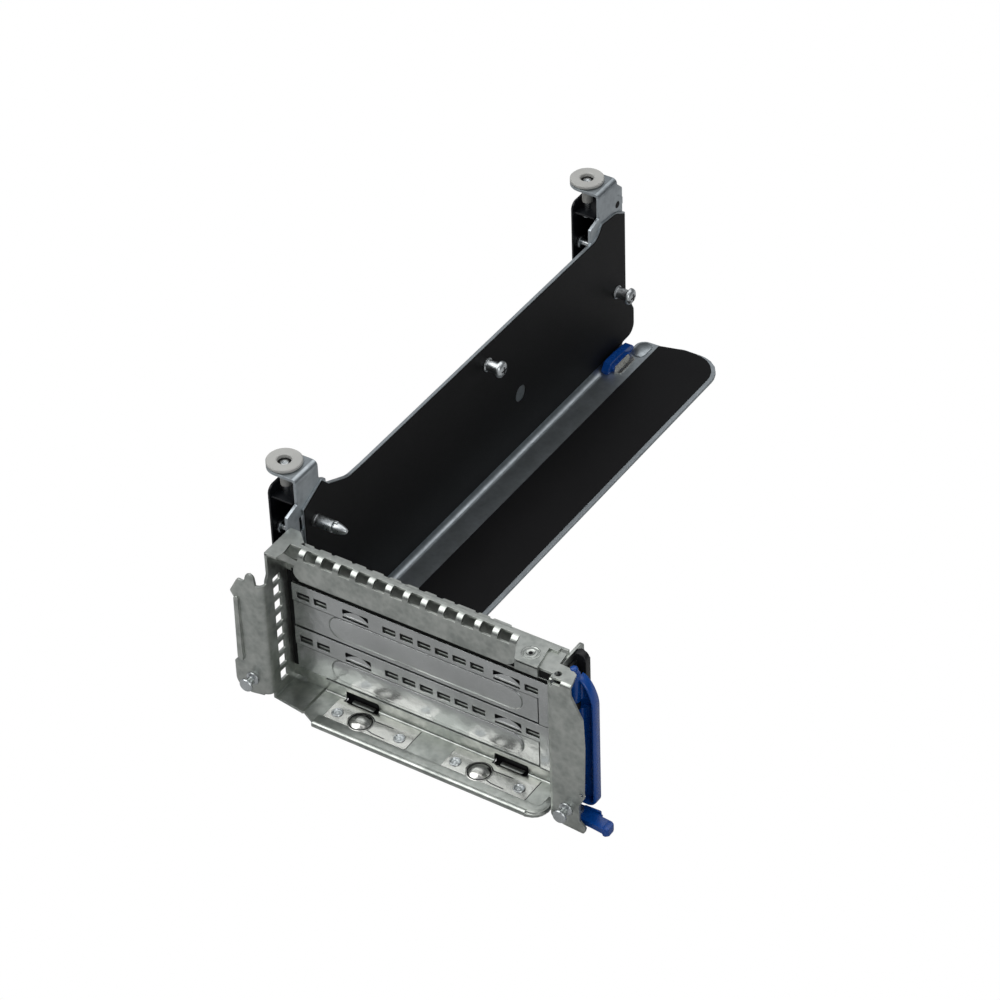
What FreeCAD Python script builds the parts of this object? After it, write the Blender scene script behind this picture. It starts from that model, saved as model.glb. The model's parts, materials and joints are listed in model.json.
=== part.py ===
import FreeCAD, Part
import math
import os

# Riser cage bracket for a rack server: a rear faceplate with two expansion-slot openings, and a long folded
# panel that carries the riser board, with raised screw feet and a retainer latch. It lies here with its
# lid side down. Millimetres.
#
# Datum: x = 0 is the outer face of the left wall, y = 0 the front face of the two wings, z = 0 the underside.
# At the end everything is moved so that the origin lies under the middle of the whole cage.

Vector = FreeCAD.Vector
X_AXIS = Vector(1, 0, 0)
Y_AXIS = Vector(0, 1, 0)
Z_AXIS = Vector(0, 0, 1)

# Cage body
SHEET = 1.0
BODY_WIDTH = 119.0
BODY_HEIGHT = 67.0
SLOT_PITCH = 20.32
SLOT_COUNT = 2
SLOT_PLANE_Y = 15.0
LOWEST_SLOT_Z = 7.4

# Top flange with its row of windows, and the bulkhead below it
BULKHEAD_Y = 10.0
BULKHEAD_LOW = 54.4
BULKHEAD_LEFT = 6.3
BULKHEAD_RIGHT = 100.5
TOP_BEND = 3.0
STRIP_REAR = 14.8
WINDOW_COUNT = 13
WINDOW_PITCH = 7.31
WINDOW_WIDTH = 4.9
FIRST_WINDOW_X = 5.2
TAB_REACH = 1.2
TAB_WIDTH = 4.2
CORNER_FRONT = 4.4
CORNER_REAR = 20.5
PLATEAU_FRONT = 2.0
PLATEAU_LEFT = 105.0
PLATEAU_RIGHT = 114.2
PLATEAU_LIP = 4.6

# Left wall and its square vents
VENT_COUNT = 7
VENT_PITCH = 6.5
VENT_HEIGHT = 4.6
VENT_DEPTH = 4.2
VENT_FRONT = 6.7
FIRST_VENT_Z = 5.7
TOP_VENT_HEIGHT = 2.8

# Wings with their guide pins
WING_TOP_LEFT = 53.8
WING_BEND = 3.0
LEFT_WING_REACH = 13.9
RIGHT_WING_REACH = 14.3
GUIDE_PIN_Z = 8.8
GUIDE_PIN_INSET = 6.5
GUIDE_PIN_RADIUS = 2.7
GUIDE_PIN_REACH = 5.0
GUIDE_PIN_NECK = 1.6
BRACKET_RIVET_RADIUS = 1.6
WALL_RIVET_RADIUS = 1.2
WALL_RIVET_Y = 18.6
WALL_RIVET_HEAD = 0.7

# Bottom flange with its hemmed lip and its spring strips
FLANGE_Z = 1.0
FLANGE_FRONT = -2.2
FLANGE_REAR = 13.8
FLANGE_RIGHT = 116.0
HEM_LEFT = 20.5
HEM_RIGHT = 112.0
HEM_RADIUS = 1.25
JOGGLE_X = 13.4
JOGGLE_RUN = 1.6
JOGGLE_STEP = 0.8
STRIP_THICKNESS = 0.25
STRIP_LENGTH = 34.5
STRIP_DEPTH = 10.0
STRIP_FRONT = 2.6
STRIP_LEFT_X = 22.0
STRIP_SPACING = 50.2
STRIP_RIVET_SPACING = 26.6
STRIP_RIVET_INSET = 3.6
STRIP_RIVET_RADIUS = 1.6
STRIP_DIMPLE_RADIUS = 3.0
STRIP_RIVET_SHANK = 0.8
LIP_BEND = 1.6
LIP_HEIGHT = 7.0

# Slot frame behind the faceplate
FRAME_SHEET = 1.0
COVER_SHEET = 0.4
SLOT_OPENING_LEFT = 14.0
SLOT_OPENING_RIGHT = 103.0
SLOT_OPENING_HEIGHT = 10.8
SLOT_OPENING_LIFT = 0.6
FRAME_TOP_GAP = 0.1
FRAME_FLANGE_REAR = 24.0
FRAME_FLOOR_FLANGE_REAR = 27.0

# Slot covers
COVER_LEFT = 3.0
COVER_RIGHT = 108.4
COVER_GAP = 0.5
COVER_STRIP_HEIGHT = 8.3
COVER_STEP = 0.5
COVER_VENT_WIDTH = 5.5
COVER_VENT_HEIGHT = 3.0
COVER_VENT_LIFT = 1.7
COVER_VENT_PITCH = 7.33
COVER_VENT_X = 41.6
COVER_VENT_COUNT = 6
CAPSULE_LEFT = 18.0
CAPSULE_RIGHT = 99.3
CAPSULE_HEIGHT = 9.8
CAPSULE_RAISE = 0.5
WAVE_LENGTH = 10.8

# Long panel: wall and floor
PANEL_SHEET = 1.2
PANEL_END = 247.5
PANEL_TOE = 253.5
PANEL_TOE_HEIGHT = 15.5
PANEL_WALL_TOP = 65.0
PANEL_NEAR = 16.5
FLOOR_WIDTH = 41.5
FLOOR_END = 256.0
FLOOR_NEAR = 21.0
FLOOR_CORNER = 12.0
PANEL_BEND = 2.4
FILM = 0.25
FILM_EDGE = 1.7
BARE_STRIP = 12.0

# Screw feet
FOOT_HEIGHT = 83.5
FOOT_LENGTH = 12.8
NEAR_FOOT_Y = 26.6
FAR_FOOT_Y = 229.8
FOOT_REACH = 10.0
FOOT_STEP = 1.2
FOOT_BEND = 2.0
FOOT_LOW = 44.0
FOOT_SHOULDER = 7.3
PANEL_FOOT_FRONT = 29.8
PAD_RADIUS = 6.4
PAD_THICKNESS = 1.6
PAD_HOLE = 2.3
COLLAR_RADIUS = 3.0
COLLAR_LENGTH = 6.0
SCREW_RADIUS = 1.5
SCREW_LENGTH = 19.0
SCREW_HEAD_RADIUS = 2.6
SCREW_HEAD_HEIGHT = 3.6
SCREW_CLEARANCE = 0.05
GUARD_SHEET = 0.8
GUARD_REACH = 13.6
GUARD_TOP = 75.6
GUARD_LOW = 44.0
GUARD_SHELF = 74.0
GUARD_RIVET = 1.2
GUARD_RIVET_INSET = 4.5
GUARD_RIVET_Z = 55.0

# Board supports on the wall
PIN_Y = 35.0
PIN_Z = 60.4
PIN_RADIUS = 2.2
PIN_LENGTH = 13.8
PIN_FLANGE = 2.9
STUD_NECK = 1.3
MID_SUPPORT_Y = 147.5
MID_SUPPORT_Z = 56.1
FAR_SUPPORT_Y = 240.6
FAR_SUPPORT_Z = 31.4
REAR_TAB_Y = 236.0
REAR_TAB_LENGTH = 20.0
REAR_TAB_X = 1.4
REAR_TAB_THICKNESS = 3.0
REAR_TAB_TOP = 7.2
SUPPORT_RADIUS = 2.0
SUPPORT_HEIGHT = 4.6
SUPPORT_HEAD = 3.0
SUPPORT_HEAD_HEIGHT = 2.2
SUPPORT_SCREW = 1.1
FILM_HOLE_Y = 169.5
FILM_HOLE_Z = 28.0
FILM_HOLE_RADIUS = 3.5

# Retainer latch and release lever
LATCH_AXIS_X = 124.5
LATCH_AXIS_Y = 8.8
LATCH_EDGE = 134.0
LATCH_LOW = 7.0
LATCH_TOP = 64.0
LATCH_WALL = 1.4
LATCH_RIM = 2.6
LATCH_HUB = 2.2
LATCH_PIN = 1.0
LATCH_DEPTH = 4.0
EAR_INSET = 6.0
EAR_HEIGHT = 3.0
EAR_GAP = 0.3
GUIDE_BASE = 1.2
GUIDE_REACH = 6.4
GUIDE_FRONT = 16.4
GUIDE_LOW = 40.0
GUIDE_TOP = 67.0
PIN_CLEARANCE = 0.05
LEVER_X = 127.0
LEVER_Y = 6.0
LEVER_Z = 1.8
LEVER_THICKNESS = 2.3
LEVER_GAP = 0.2
LEVER_PIN = 1.0
TAB_BEND = 1.6


def line_corner(corners, i):
    """Start, middle and end of the corner i of a closed outline, rounded if it has a radius."""
    here = Vector(corners[i][0], corners[i][1], 0)
    radius = corners[i][2] if len(corners[i]) > 2 else 0
    if radius == 0:
        return here, None, here
    before = Vector(corners[i - 1][0], corners[i - 1][1], 0)
    after = Vector(corners[(i + 1) % len(corners)][0], corners[(i + 1) % len(corners)][1], 0)
    back = (before - here).normalize()
    ahead = (after - here).normalize()
    half = back.getAngle(ahead) / 2
    inward = (back + ahead).normalize()
    reach = radius / math.tan(half)
    centre = here + inward * (radius / math.sin(half))
    return here + back * reach, centre - inward * radius, here + ahead * reach


def face(corners, place):
    """Plane face inside corners (u, v) or (u, v, radius); place turns (u, v) into a point."""
    rounded = [line_corner(corners, i) for i in range(len(corners))]
    edges = []
    for i, (start, middle, end) in enumerate(rounded):
        if middle is not None:
            arc = Part.Arc(place(start.x, start.y), place(middle.x, middle.y), place(end.x, end.y))
            edges.append(arc.toShape())
        following = rounded[(i + 1) % len(rounded)][0]
        if end.distanceToPoint(following) > 1e-6:
            edges.append(Part.makeLine(place(end.x, end.y), place(following.x, following.y)))
    return Part.Face(Part.Wire(edges))


def plate_x(corners, x0, x1):
    """Plate across X; corners are (y, z)."""
    return face(corners, lambda u, v: Vector(x0, u, v)).extrude(Vector(x1 - x0, 0, 0))


def plate_y(corners, y0, y1):
    """Plate across Y; corners are (x, z)."""
    return face(corners, lambda u, v: Vector(u, y0, v)).extrude(Vector(0, y1 - y0, 0))


def plate_z(corners, z0, z1):
    """Plate across Z; corners are (x, y)."""
    return face(corners, lambda u, v: Vector(u, v, z0)).extrude(Vector(0, 0, z1 - z0))


def block(x0, x1, y0, y1, z0, z1):
    return Part.makeBox(x1 - x0, y1 - y0, z1 - z0, Vector(x0, y0, z0))


def rod(radius, start, axis, length):
    return Part.makeCylinder(radius, length, start, axis)


def cone(radius0, radius1, start, axis, length):
    return Part.makeCone(radius0, radius1, length, start, axis)


def rectangle(u0, u1, v0, v1, radius=0):
    return [(u0, v0, radius), (u1, v0, radius), (u1, v1, radius), (u0, v1, radius)]


def join(shapes):
    """One clean solid from touching shapes."""
    whole = shapes[0].multiFuse(shapes[1:]) if len(shapes) > 1 else shapes[0]
    return whole.removeSplitter()


def cut(shape, tools):
    return shape.cut(Part.makeCompound(tools)) if tools else shape


def bend_section(outer, inner, start, place):
    """Quarter ring between two radii, swept where place puts (u, v); start is its first angle."""
    points = []
    for radius in (outer, inner):
        for angle in (start, start + 45, start + 90):
            turn = math.radians(angle)
            points.append((radius * math.cos(turn), radius * math.sin(turn)))
    out = Part.Arc(place(*points[0]), place(*points[1]), place(*points[2])).toShape()
    inn = Part.Arc(place(*points[3]), place(*points[4]), place(*points[5])).toShape()
    side = Part.makeLine(place(*points[2]), place(*points[5]))
    foot = Part.makeLine(place(*points[3]), place(*points[0]))
    return Part.Face(Part.Wire([out, side, inn, foot]))


def bend_along_x(centre_y, centre_z, outer, inner, start, x0, x1):
    section = bend_section(outer, inner, start, lambda u, v: Vector(x0, centre_y + u, centre_z + v))
    return section.extrude(Vector(x1 - x0, 0, 0))


def bend_along_y(centre_x, centre_z, outer, inner, start, y0, y1):
    section = bend_section(outer, inner, start, lambda u, v: Vector(centre_x + u, y0, centre_z + v))
    return section.extrude(Vector(0, y1 - y0, 0))


def bend_along_z(centre_x, centre_y, outer, inner, start, z0, z1):
    section = bend_section(outer, inner, start, lambda u, v: Vector(centre_x + u, centre_y + v, z0))
    return section.extrude(Vector(0, 0, z1 - z0))


def window_left(i):
    return FIRST_WINDOW_X + i * WINDOW_PITCH


def slot_low(k):
    """Lower edge of the cover of slot k, counted from the bottom."""
    return LOWEST_SLOT_Z + k * SLOT_PITCH


def top_flange():
    """Corner plate, narrow strip with rear tabs, and the plateau over the right bracket, all in one plane."""
    low = BODY_HEIGHT - SHEET
    strip_front = BULKHEAD_Y + TOP_BEND
    outline = [
        (0, CORNER_FRONT), (FIRST_WINDOW_X, CORNER_FRONT), (FIRST_WINDOW_X + 0.7, CORNER_FRONT + 3.2),
        (FIRST_WINDOW_X, strip_front), (BULKHEAD_RIGHT, strip_front),
        (BULKHEAD_RIGHT + 1.2, strip_front - 4.5, 3),
        (PLATEAU_LEFT, PLATEAU_FRONT, 1), (PLATEAU_RIGHT, PLATEAU_FRONT, 0.6),
        (PLATEAU_RIGHT - 1.8, strip_front - 0.5), (PLATEAU_RIGHT + 1.7, strip_front - 0.5),
        (PLATEAU_RIGHT + 1.7, STRIP_REAR), (CORNER_FRONT + 6, STRIP_REAR), (CORNER_FRONT, CORNER_REAR, 2),
        (0, CORNER_REAR)]
    flange = plate_z(outline, low, BODY_HEIGHT)
    tabs = []
    for i in range(WINDOW_COUNT - 1):
        middle = window_left(i + 1) - (WINDOW_PITCH - WINDOW_WIDTH) / 2
        half = TAB_WIDTH / 2 if i not in (2, 9, 11) else TAB_WIDTH * 0.8
        corners = [(middle - half - 1, STRIP_REAR - 0.2), (middle + half + 1, STRIP_REAR - 0.2),
                   (middle + half, STRIP_REAR + TAB_REACH, 0.6), (middle - half, STRIP_REAR + TAB_REACH, 0.6)]
        tabs.append(plate_z(corners, low, BODY_HEIGHT))
    return [flange] + tabs


def bulkhead():
    """Vertical band below the strip, with the bend that the windows cross."""
    bend_z = BODY_HEIGHT - TOP_BEND
    corners = [(BULKHEAD_LEFT, BULKHEAD_LOW, 3.5), (BULKHEAD_RIGHT, BULKHEAD_LOW, 5),
               (BULKHEAD_RIGHT, bend_z), (BULKHEAD_LEFT, bend_z)]
    band = plate_y(corners, BULKHEAD_Y, BULKHEAD_Y + SHEET)
    bend = bend_along_x(BULKHEAD_Y + TOP_BEND, bend_z, TOP_BEND, TOP_BEND - SHEET, 90, BULKHEAD_LEFT,
                        BULKHEAD_RIGHT)
    return [band, bend]


def corner_web():
    """Slanting web that turns the corner plate into the left end of the bulkhead."""
    low = BODY_HEIGHT - SHEET
    upper = [Vector(FIRST_WINDOW_X - 0.1, CORNER_FRONT, BODY_HEIGHT),
             Vector(FIRST_WINDOW_X + 0.6, CORNER_FRONT + 3.2, BODY_HEIGHT),
             Vector(FIRST_WINDOW_X + 0.6, CORNER_FRONT + 3.2, low),
             Vector(FIRST_WINDOW_X - 0.1, CORNER_FRONT, low)]
    x = BULKHEAD_LEFT
    drop = BODY_HEIGHT - TOP_BEND
    lower = [Vector(x, BULKHEAD_Y, drop - 4.5), Vector(x + 3, BULKHEAD_Y, drop - 1),
             Vector(x + 3, BULKHEAD_Y + SHEET, drop - 1), Vector(x, BULKHEAD_Y + SHEET, drop - 4.5)]
    wires = [Part.makePolygon(points + [points[0]]) for points in (upper, lower)]
    return Part.makeLoft(wires, True, True)


def left_wall():
    """Left side wall with its column of square vents."""
    top = BODY_HEIGHT - SHEET / 2
    low = FLANGE_Z - JOGGLE_STEP
    corners = [(WING_BEND, low), (WING_BEND, WING_TOP_LEFT + 1, 2), (CORNER_FRONT, WING_TOP_LEFT + 3.5, 2),
               (CORNER_FRONT, top), (CORNER_REAR, top), (CORNER_REAR, low)]
    wall = plate_x(corners, 0, SHEET)
    vents = []
    for i in range(VENT_COUNT):
        z = FIRST_VENT_Z + i * VENT_PITCH
        vents.append(block(-1, SHEET + 1, VENT_FRONT, VENT_FRONT + VENT_DEPTH, z, z + VENT_HEIGHT))
    z = FIRST_VENT_Z + VENT_COUNT * VENT_PITCH - 0.2
    vents.append(block(-1, SHEET + 1, VENT_FRONT, VENT_FRONT + VENT_DEPTH, z, z + TOP_VENT_HEIGHT))
    return cut(wall, vents)


def left_wing():
    """Left wing with its ear, its stiffening fold and its foot, bent out from the wall."""
    bend = bend_along_z(SHEET - WING_BEND, WING_BEND, WING_BEND, WING_BEND - SHEET, -90, 3.4, WING_TOP_LEFT)
    reach = -LEFT_WING_REACH
    corners = [
        (SHEET - WING_BEND, 2.6), (SHEET - WING_BEND, WING_TOP_LEFT + 0.6, 0.5),
        (-2.6, WING_TOP_LEFT + 4.4, 1.2),
        (-5.6, WING_TOP_LEFT + 4.2, 1.2), (-6.8, WING_TOP_LEFT, 0.8), (-9.7, WING_TOP_LEFT + 0.4, 1),
        (reach + 0.6, WING_TOP_LEFT - 6.3, 0.8), (reach + 2.2, WING_TOP_LEFT - 9, 1),
        (reach + 1.6, 16.4, 0.6),
        (reach, 14.4, 0.6), (reach, 3.4, 4), (-7.7, 1.6, 3)]
    flat = plate_y(corners, 0, SHEET)
    rib_corners = [(reach + 1.9, 17), (reach + 4.2, 15.8, 0.5), (reach + 4.2, 46.4, 0.5),
                   (reach + 2.4, 45.4, 0.3)]
    rib = plate_y(rib_corners, -0.7, 0.1)
    return [bend, flat, rib]


def bottom_flange():
    """Bottom flange: a low left corner, a step, and the raised main part with a rolled front lip."""
    low = FLANGE_Z - JOGGLE_STEP
    corner = plate_z([(0.5, WING_BEND), (JOGGLE_X, 1.2), (JOGGLE_X, FLANGE_REAR), (0.5, FLANGE_REAR)], low,
                     low + SHEET)
    end = JOGGLE_X + JOGGLE_RUN
    ramp = plate_y([(JOGGLE_X, low), (end, FLANGE_Z), (end, FLANGE_Z + SHEET), (JOGGLE_X, low + SHEET)],
                   1.0, FLANGE_REAR)
    corners = [(end, 0.6), (HEM_LEFT, FLANGE_FRONT, 2), (HEM_RIGHT, FLANGE_FRONT, 3), (FLANGE_RIGHT, 3.7, 2),
               (FLANGE_RIGHT, FLANGE_REAR), (end, FLANGE_REAR)]
    main = plate_z(corners, FLANGE_Z, FLANGE_Z + SHEET)
    start = Vector(HEM_LEFT, FLANGE_FRONT + 0.1, HEM_RADIUS)
    roll = rod(HEM_RADIUS, start, X_AXIS, HEM_RIGHT - HEM_LEFT - 2)
    windows = []
    for i in range(2):
        x = STRIP_LEFT_X + i * STRIP_SPACING + 2.2
        windows.append(block(x, x + 14.6, FLANGE_REAR - 1.4, FLANGE_REAR + LIP_BEND + 1, 0,
                             FLANGE_Z + LIP_BEND + 0.4))
    holes = [rod(STRIP_RIVET_SHANK, Vector(x, y, 0), Z_AXIS, 5) for x, y in strip_rivet_places()]
    bend_z = FLANGE_Z + LIP_BEND
    bend = bend_along_x(FLANGE_REAR, bend_z, LIP_BEND, LIP_BEND - SHEET, 270, end, FLANGE_RIGHT)
    lip_rear = FLANGE_REAR + LIP_BEND
    lip = plate_y(rectangle(end, FLANGE_RIGHT, bend_z, LIP_HEIGHT), lip_rear - SHEET, lip_rear)
    return [corner, ramp, cut(join([main, bend, lip]), windows + holes), roll]


def strip_rivet_places():
    places = []
    for i in range(2):
        for k in range(2):
            x = STRIP_LEFT_X + i * STRIP_SPACING + STRIP_RIVET_INSET + k * STRIP_RIVET_SPACING
            places.append((x, STRIP_FRONT + 3.8))
    return places


def plateau_lip():
    return block(PLATEAU_LEFT, PLATEAU_RIGHT, PLATEAU_FRONT, PLATEAU_FRONT + SHEET,
                 BODY_HEIGHT - PLATEAU_LIP, BODY_HEIGHT - SHEET / 2)


def bracket_rivet_place():
    return PLATEAU_RIGHT - 5.8, PLATEAU_FRONT + 5.1


def wall_rivet_heights():
    return [BODY_HEIGHT * share for share in (0.15, 0.35, 0.55)]


def faceplate():
    """One folded sheet: top flange, bulkhead, left wall and wing, bottom flange."""
    shapes = top_flange() + bulkhead() + [corner_web(), left_wall(),
                                          plateau_lip()] + left_wing() + bottom_flange()
    whole = join(shapes)
    windows = []
    for i in range(WINDOW_COUNT):
        x = window_left(i)
        windows.append(block(x, x + WINDOW_WIDTH, BULKHEAD_Y - 1, BULKHEAD_Y + TOP_BEND - 0.2,
                             BODY_HEIGHT - TOP_BEND - 0.4, BODY_HEIGHT + 1))
    windows[0] = block(BULKHEAD_LEFT + 2.4, FIRST_WINDOW_X + WINDOW_WIDTH, BULKHEAD_Y - 1,
                       BULKHEAD_Y + TOP_BEND - 0.2,
                       BODY_HEIGHT - TOP_BEND - 0.4, BODY_HEIGHT + 1)
    x, y = bracket_rivet_place()
    holes = [rod(BRACKET_RIVET_RADIUS, Vector(x, y, BODY_HEIGHT - 3), Z_AXIS, 6)]
    holes.append(rod(GUIDE_PIN_NECK, Vector(-GUIDE_PIN_INSET, -1, GUIDE_PIN_Z), Y_AXIS, 4))
    for z in wall_rivet_heights():
        holes.append(rod(WALL_RIVET_RADIUS, Vector(-1, WALL_RIVET_Y, z), X_AXIS, 4))
    return cut(whole, windows + holes)


def right_bracket():
    """Separate folded sheet: right wing, top tab under the plateau, side wall and a small bottom tab."""
    wall_outer = BODY_WIDTH
    wall_inner = wall_outer - SHEET
    bend_x = wall_inner + WING_BEND
    top = BODY_HEIGHT - SHEET
    reach = wall_outer + RIGHT_WING_REACH
    low = 2.6
    wing = plate_y([
        (bend_x, low), (124.1, 1.0, 2), (reach - 0.6, 0.3, 1.2), (reach, 3, 0.6), (reach - 2.4, 5.4, 0.5),
        (reach - 2.4, 12.6, 0.5), (reach - 0.6, 16.4, 1), (reach, 39.8, 3), (reach - 0.5, 52.6, 3),
        (reach - 5.1, 61.8, 1), (reach - 5.1, top - TAB_BEND), (bend_x, top - TAB_BEND)], 0, SHEET)
    wing_bend = bend_along_z(bend_x, WING_BEND, WING_BEND, WING_BEND - SHEET, 180, low, top - TAB_BEND - 1.6)
    wall = plate_x([(WING_BEND, low), (WING_BEND, top - TAB_BEND - 1.6), (WING_BEND + 3, top - TAB_BEND, 1),
                    (FRAME_FLANGE_REAR, top - TAB_BEND, 2), (FRAME_FLANGE_REAR, low + 2, 2),
                    (WING_BEND + 3, low, 1)], wall_inner, wall_outer)
    tab_bend = bend_along_x(TAB_BEND, top - TAB_BEND, TAB_BEND, TAB_BEND - SHEET, 90, bend_x + 2.6,
                            reach - 5.1)
    tab = plate_z([(PLATEAU_LEFT + 0.5, PLATEAU_FRONT + SHEET + 0.3, 1),
                   (wall_outer + 0.6, PLATEAU_FRONT + SHEET + 0.3),
                   (wall_outer + 0.6, TAB_BEND), (reach - 5.1, TAB_BEND), (reach - 6.4, 6.6, 0.6),
                   (wall_outer + 2.4, 8.4), (wall_outer + 1.6, 12.6, 0.6), (PLATEAU_LEFT + 0.5, 12.6, 1)],
                  top - SHEET, top)
    foot = plate_z([(wall_inner + 3.4, SHEET / 2), (LEVER_X + 4.2, SHEET / 2), (LEVER_X + 4.2, 10.6, 2),
                    (wall_inner + 3.4, 10.6, 2)], LEVER_Z - SHEET - LEVER_GAP, LEVER_Z - LEVER_GAP)
    whole = join([wing, wing_bend, wall, tab_bend, tab, foot])
    x, y = bracket_rivet_place()
    holes = [rod(BRACKET_RIVET_RADIUS, Vector(x, y, top - 3), Z_AXIS, 6),
             rod(1.4, Vector(wall_outer + 2.4, 3.4, top - 3), Z_AXIS, 6),
             rod(0.9, Vector(reach - 1.6, -1, 18.2), Y_AXIS, 4),
             rod(GUIDE_PIN_NECK, Vector(right_pin_x(), -1, GUIDE_PIN_Z), Y_AXIS, 4),
             rod(LEVER_PIN, Vector(LEVER_X, LEVER_Y, -2), Z_AXIS, 6)]
    for z in wall_rivet_heights():
        holes.append(rod(WALL_RIVET_RADIUS, Vector(wall_inner - 2, WALL_RIVET_Y, z), X_AXIS, 6))
    return cut(whole, holes)


def right_pin_x():
    return BODY_WIDTH + GUIDE_PIN_INSET


def slot_frame():
    """Sheet behind the covers with two slot openings, bent back along both walls and over the floor."""
    front = SLOT_PLANE_Y + COVER_SHEET
    rear = front + FRAME_SHEET
    left = SHEET
    right = BODY_WIDTH - SHEET
    low = LIP_HEIGHT - 4
    top = BODY_HEIGHT - SHEET - FRAME_TOP_GAP
    web = plate_y(rectangle(left, right, low, top), front, rear)
    openings = []
    for k in range(SLOT_COUNT):
        z = slot_low(k) + SLOT_OPENING_LIFT
        corners = rectangle(SLOT_OPENING_LEFT, SLOT_OPENING_RIGHT, z, z + SLOT_OPENING_HEIGHT, 2)
        openings.append(plate_y(corners, front - 1, rear + 1))
    side = [(front, 6), (FRAME_FLANGE_REAR, 6, 2), (FRAME_FLANGE_REAR, top - 4, 2), (front, top - 4)]
    flanges = [plate_x(side, left, left + FRAME_SHEET), plate_x(side, right - FRAME_SHEET, right)]
    floor_top = PANEL_SHEET
    foot = plate_z([(6, rear - FRAME_SHEET / 2), (FLOOR_WIDTH - 4, rear - FRAME_SHEET / 2),
                    (FLOOR_WIDTH - 4, FRAME_FLOOR_FLANGE_REAR, 2), (6, FRAME_FLOOR_FLANGE_REAR, 2)],
                   floor_top, floor_top + FRAME_SHEET)
    riser = block(6, FLOOR_WIDTH - 4, front, rear, floor_top, low + 0.5)
    holes = []
    for z in wall_rivet_heights():
        holes.append(rod(WALL_RIVET_RADIUS, Vector(left - 1, WALL_RIVET_Y, z), X_AXIS, 3))
        holes.append(rod(WALL_RIVET_RADIUS, Vector(right - 2, WALL_RIVET_Y, z), X_AXIS, 3))
    for x in floor_rivet_xs():
        holes.append(rod(WALL_RIVET_RADIUS, Vector(x, floor_rivet_y(), -1), Z_AXIS, 5))
    return cut(join([web, foot, riser] + flanges), openings + holes)


def floor_rivet_xs():
    return [FLOOR_WIDTH * 0.3, FLOOR_WIDTH * 0.75]


def floor_rivet_y():
    return (FLOOR_NEAR + FRAME_FLOOR_FLANGE_REAR) / 2


def lens(x, z, length, rise, y0, y1):
    """Leaf shape between two shallow arcs, about the middle (x, z)."""
    left = Vector(x - length / 2, y0, z)
    right = Vector(x + length / 2, y0, z)
    upper = Part.Arc(left, Vector(x, y0, z + rise), right).toShape()
    lower = Part.Arc(right, Vector(x, y0, z - rise), left).toShape()
    return Part.Face(Part.Wire([upper, lower])).extrude(Vector(0, y1 - y0, 0))


def wave(x, z, front):
    """Pair of curved slits round a bulged leaf: the tool that cuts them and the leaf that goes back."""
    outer = lens(x, z, WAVE_LENGTH, 2.2, front - 1, front + COVER_SHEET + 1)
    inner = lens(x, z, WAVE_LENGTH + 2, 1.4, front - 2, front + COVER_SHEET + 2)
    bulge = lens(x, z, WAVE_LENGTH - 2, 1.0, front - CAPSULE_RAISE, front + COVER_SHEET / 2)
    return outer.cut(inner), bulge


def slot_cover(k):
    """Stamped cover of one slot: vented strip above, capsule emboss below, with a step between them."""
    low = slot_low(k)
    top = low + SLOT_PITCH - COVER_GAP
    fold = top - COVER_STRIP_HEIGHT
    front = SLOT_PLANE_Y
    back = front + COVER_SHEET
    raised = front - COVER_STEP
    zone = plate_y(rectangle(COVER_LEFT, COVER_RIGHT, low, fold + COVER_SHEET), front, back)
    strip = plate_y(rectangle(COVER_LEFT, COVER_RIGHT, fold, top), raised, raised + COVER_SHEET)
    riser = block(COVER_LEFT, COVER_RIGHT, raised, back, fold, fold + COVER_SHEET)
    middle = (low + fold) / 2
    half = CAPSULE_HEIGHT / 2
    capsule = rectangle(CAPSULE_LEFT, CAPSULE_RIGHT, middle - half, middle + half, half - 0.05)
    inset = COVER_SHEET
    hollow = rectangle(CAPSULE_LEFT + inset, CAPSULE_RIGHT - inset, middle - half + inset,
                       middle + half - inset,
                       half - inset - 0.05)
    boss = plate_y(capsule, front - CAPSULE_RAISE, back)
    pocket = plate_y(hollow, front - CAPSULE_RAISE + COVER_SHEET, back + 1)
    vent_z = fold + COVER_VENT_LIFT
    vents = []
    lefts = [COVER_LEFT + 2, COVER_LEFT + 2 + COVER_VENT_PITCH, COVER_RIGHT - 2.4 - COVER_VENT_WIDTH]
    lefts += [COVER_VENT_X + i * COVER_VENT_PITCH for i in range(COVER_VENT_COUNT)]
    for x in lefts:
        corners = rectangle(x, x + COVER_VENT_WIDTH, vent_z, vent_z + COVER_VENT_HEIGHT, 0.4)
        vents.append(plate_y(corners, raised - 1, raised + COVER_SHEET + 1))
    leaves = []
    for x in (CAPSULE_LEFT + 12.1, CAPSULE_RIGHT - 6.2):
        slits, leaf = wave(x, vent_z + COVER_VENT_HEIGHT / 2 - 0.2, raised)
        vents.append(slits)
        leaves.append(leaf)
    sheet = cut(join([zone, strip, riser, boss]), [pocket] + vents)
    return join([sheet] + leaves)


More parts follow.
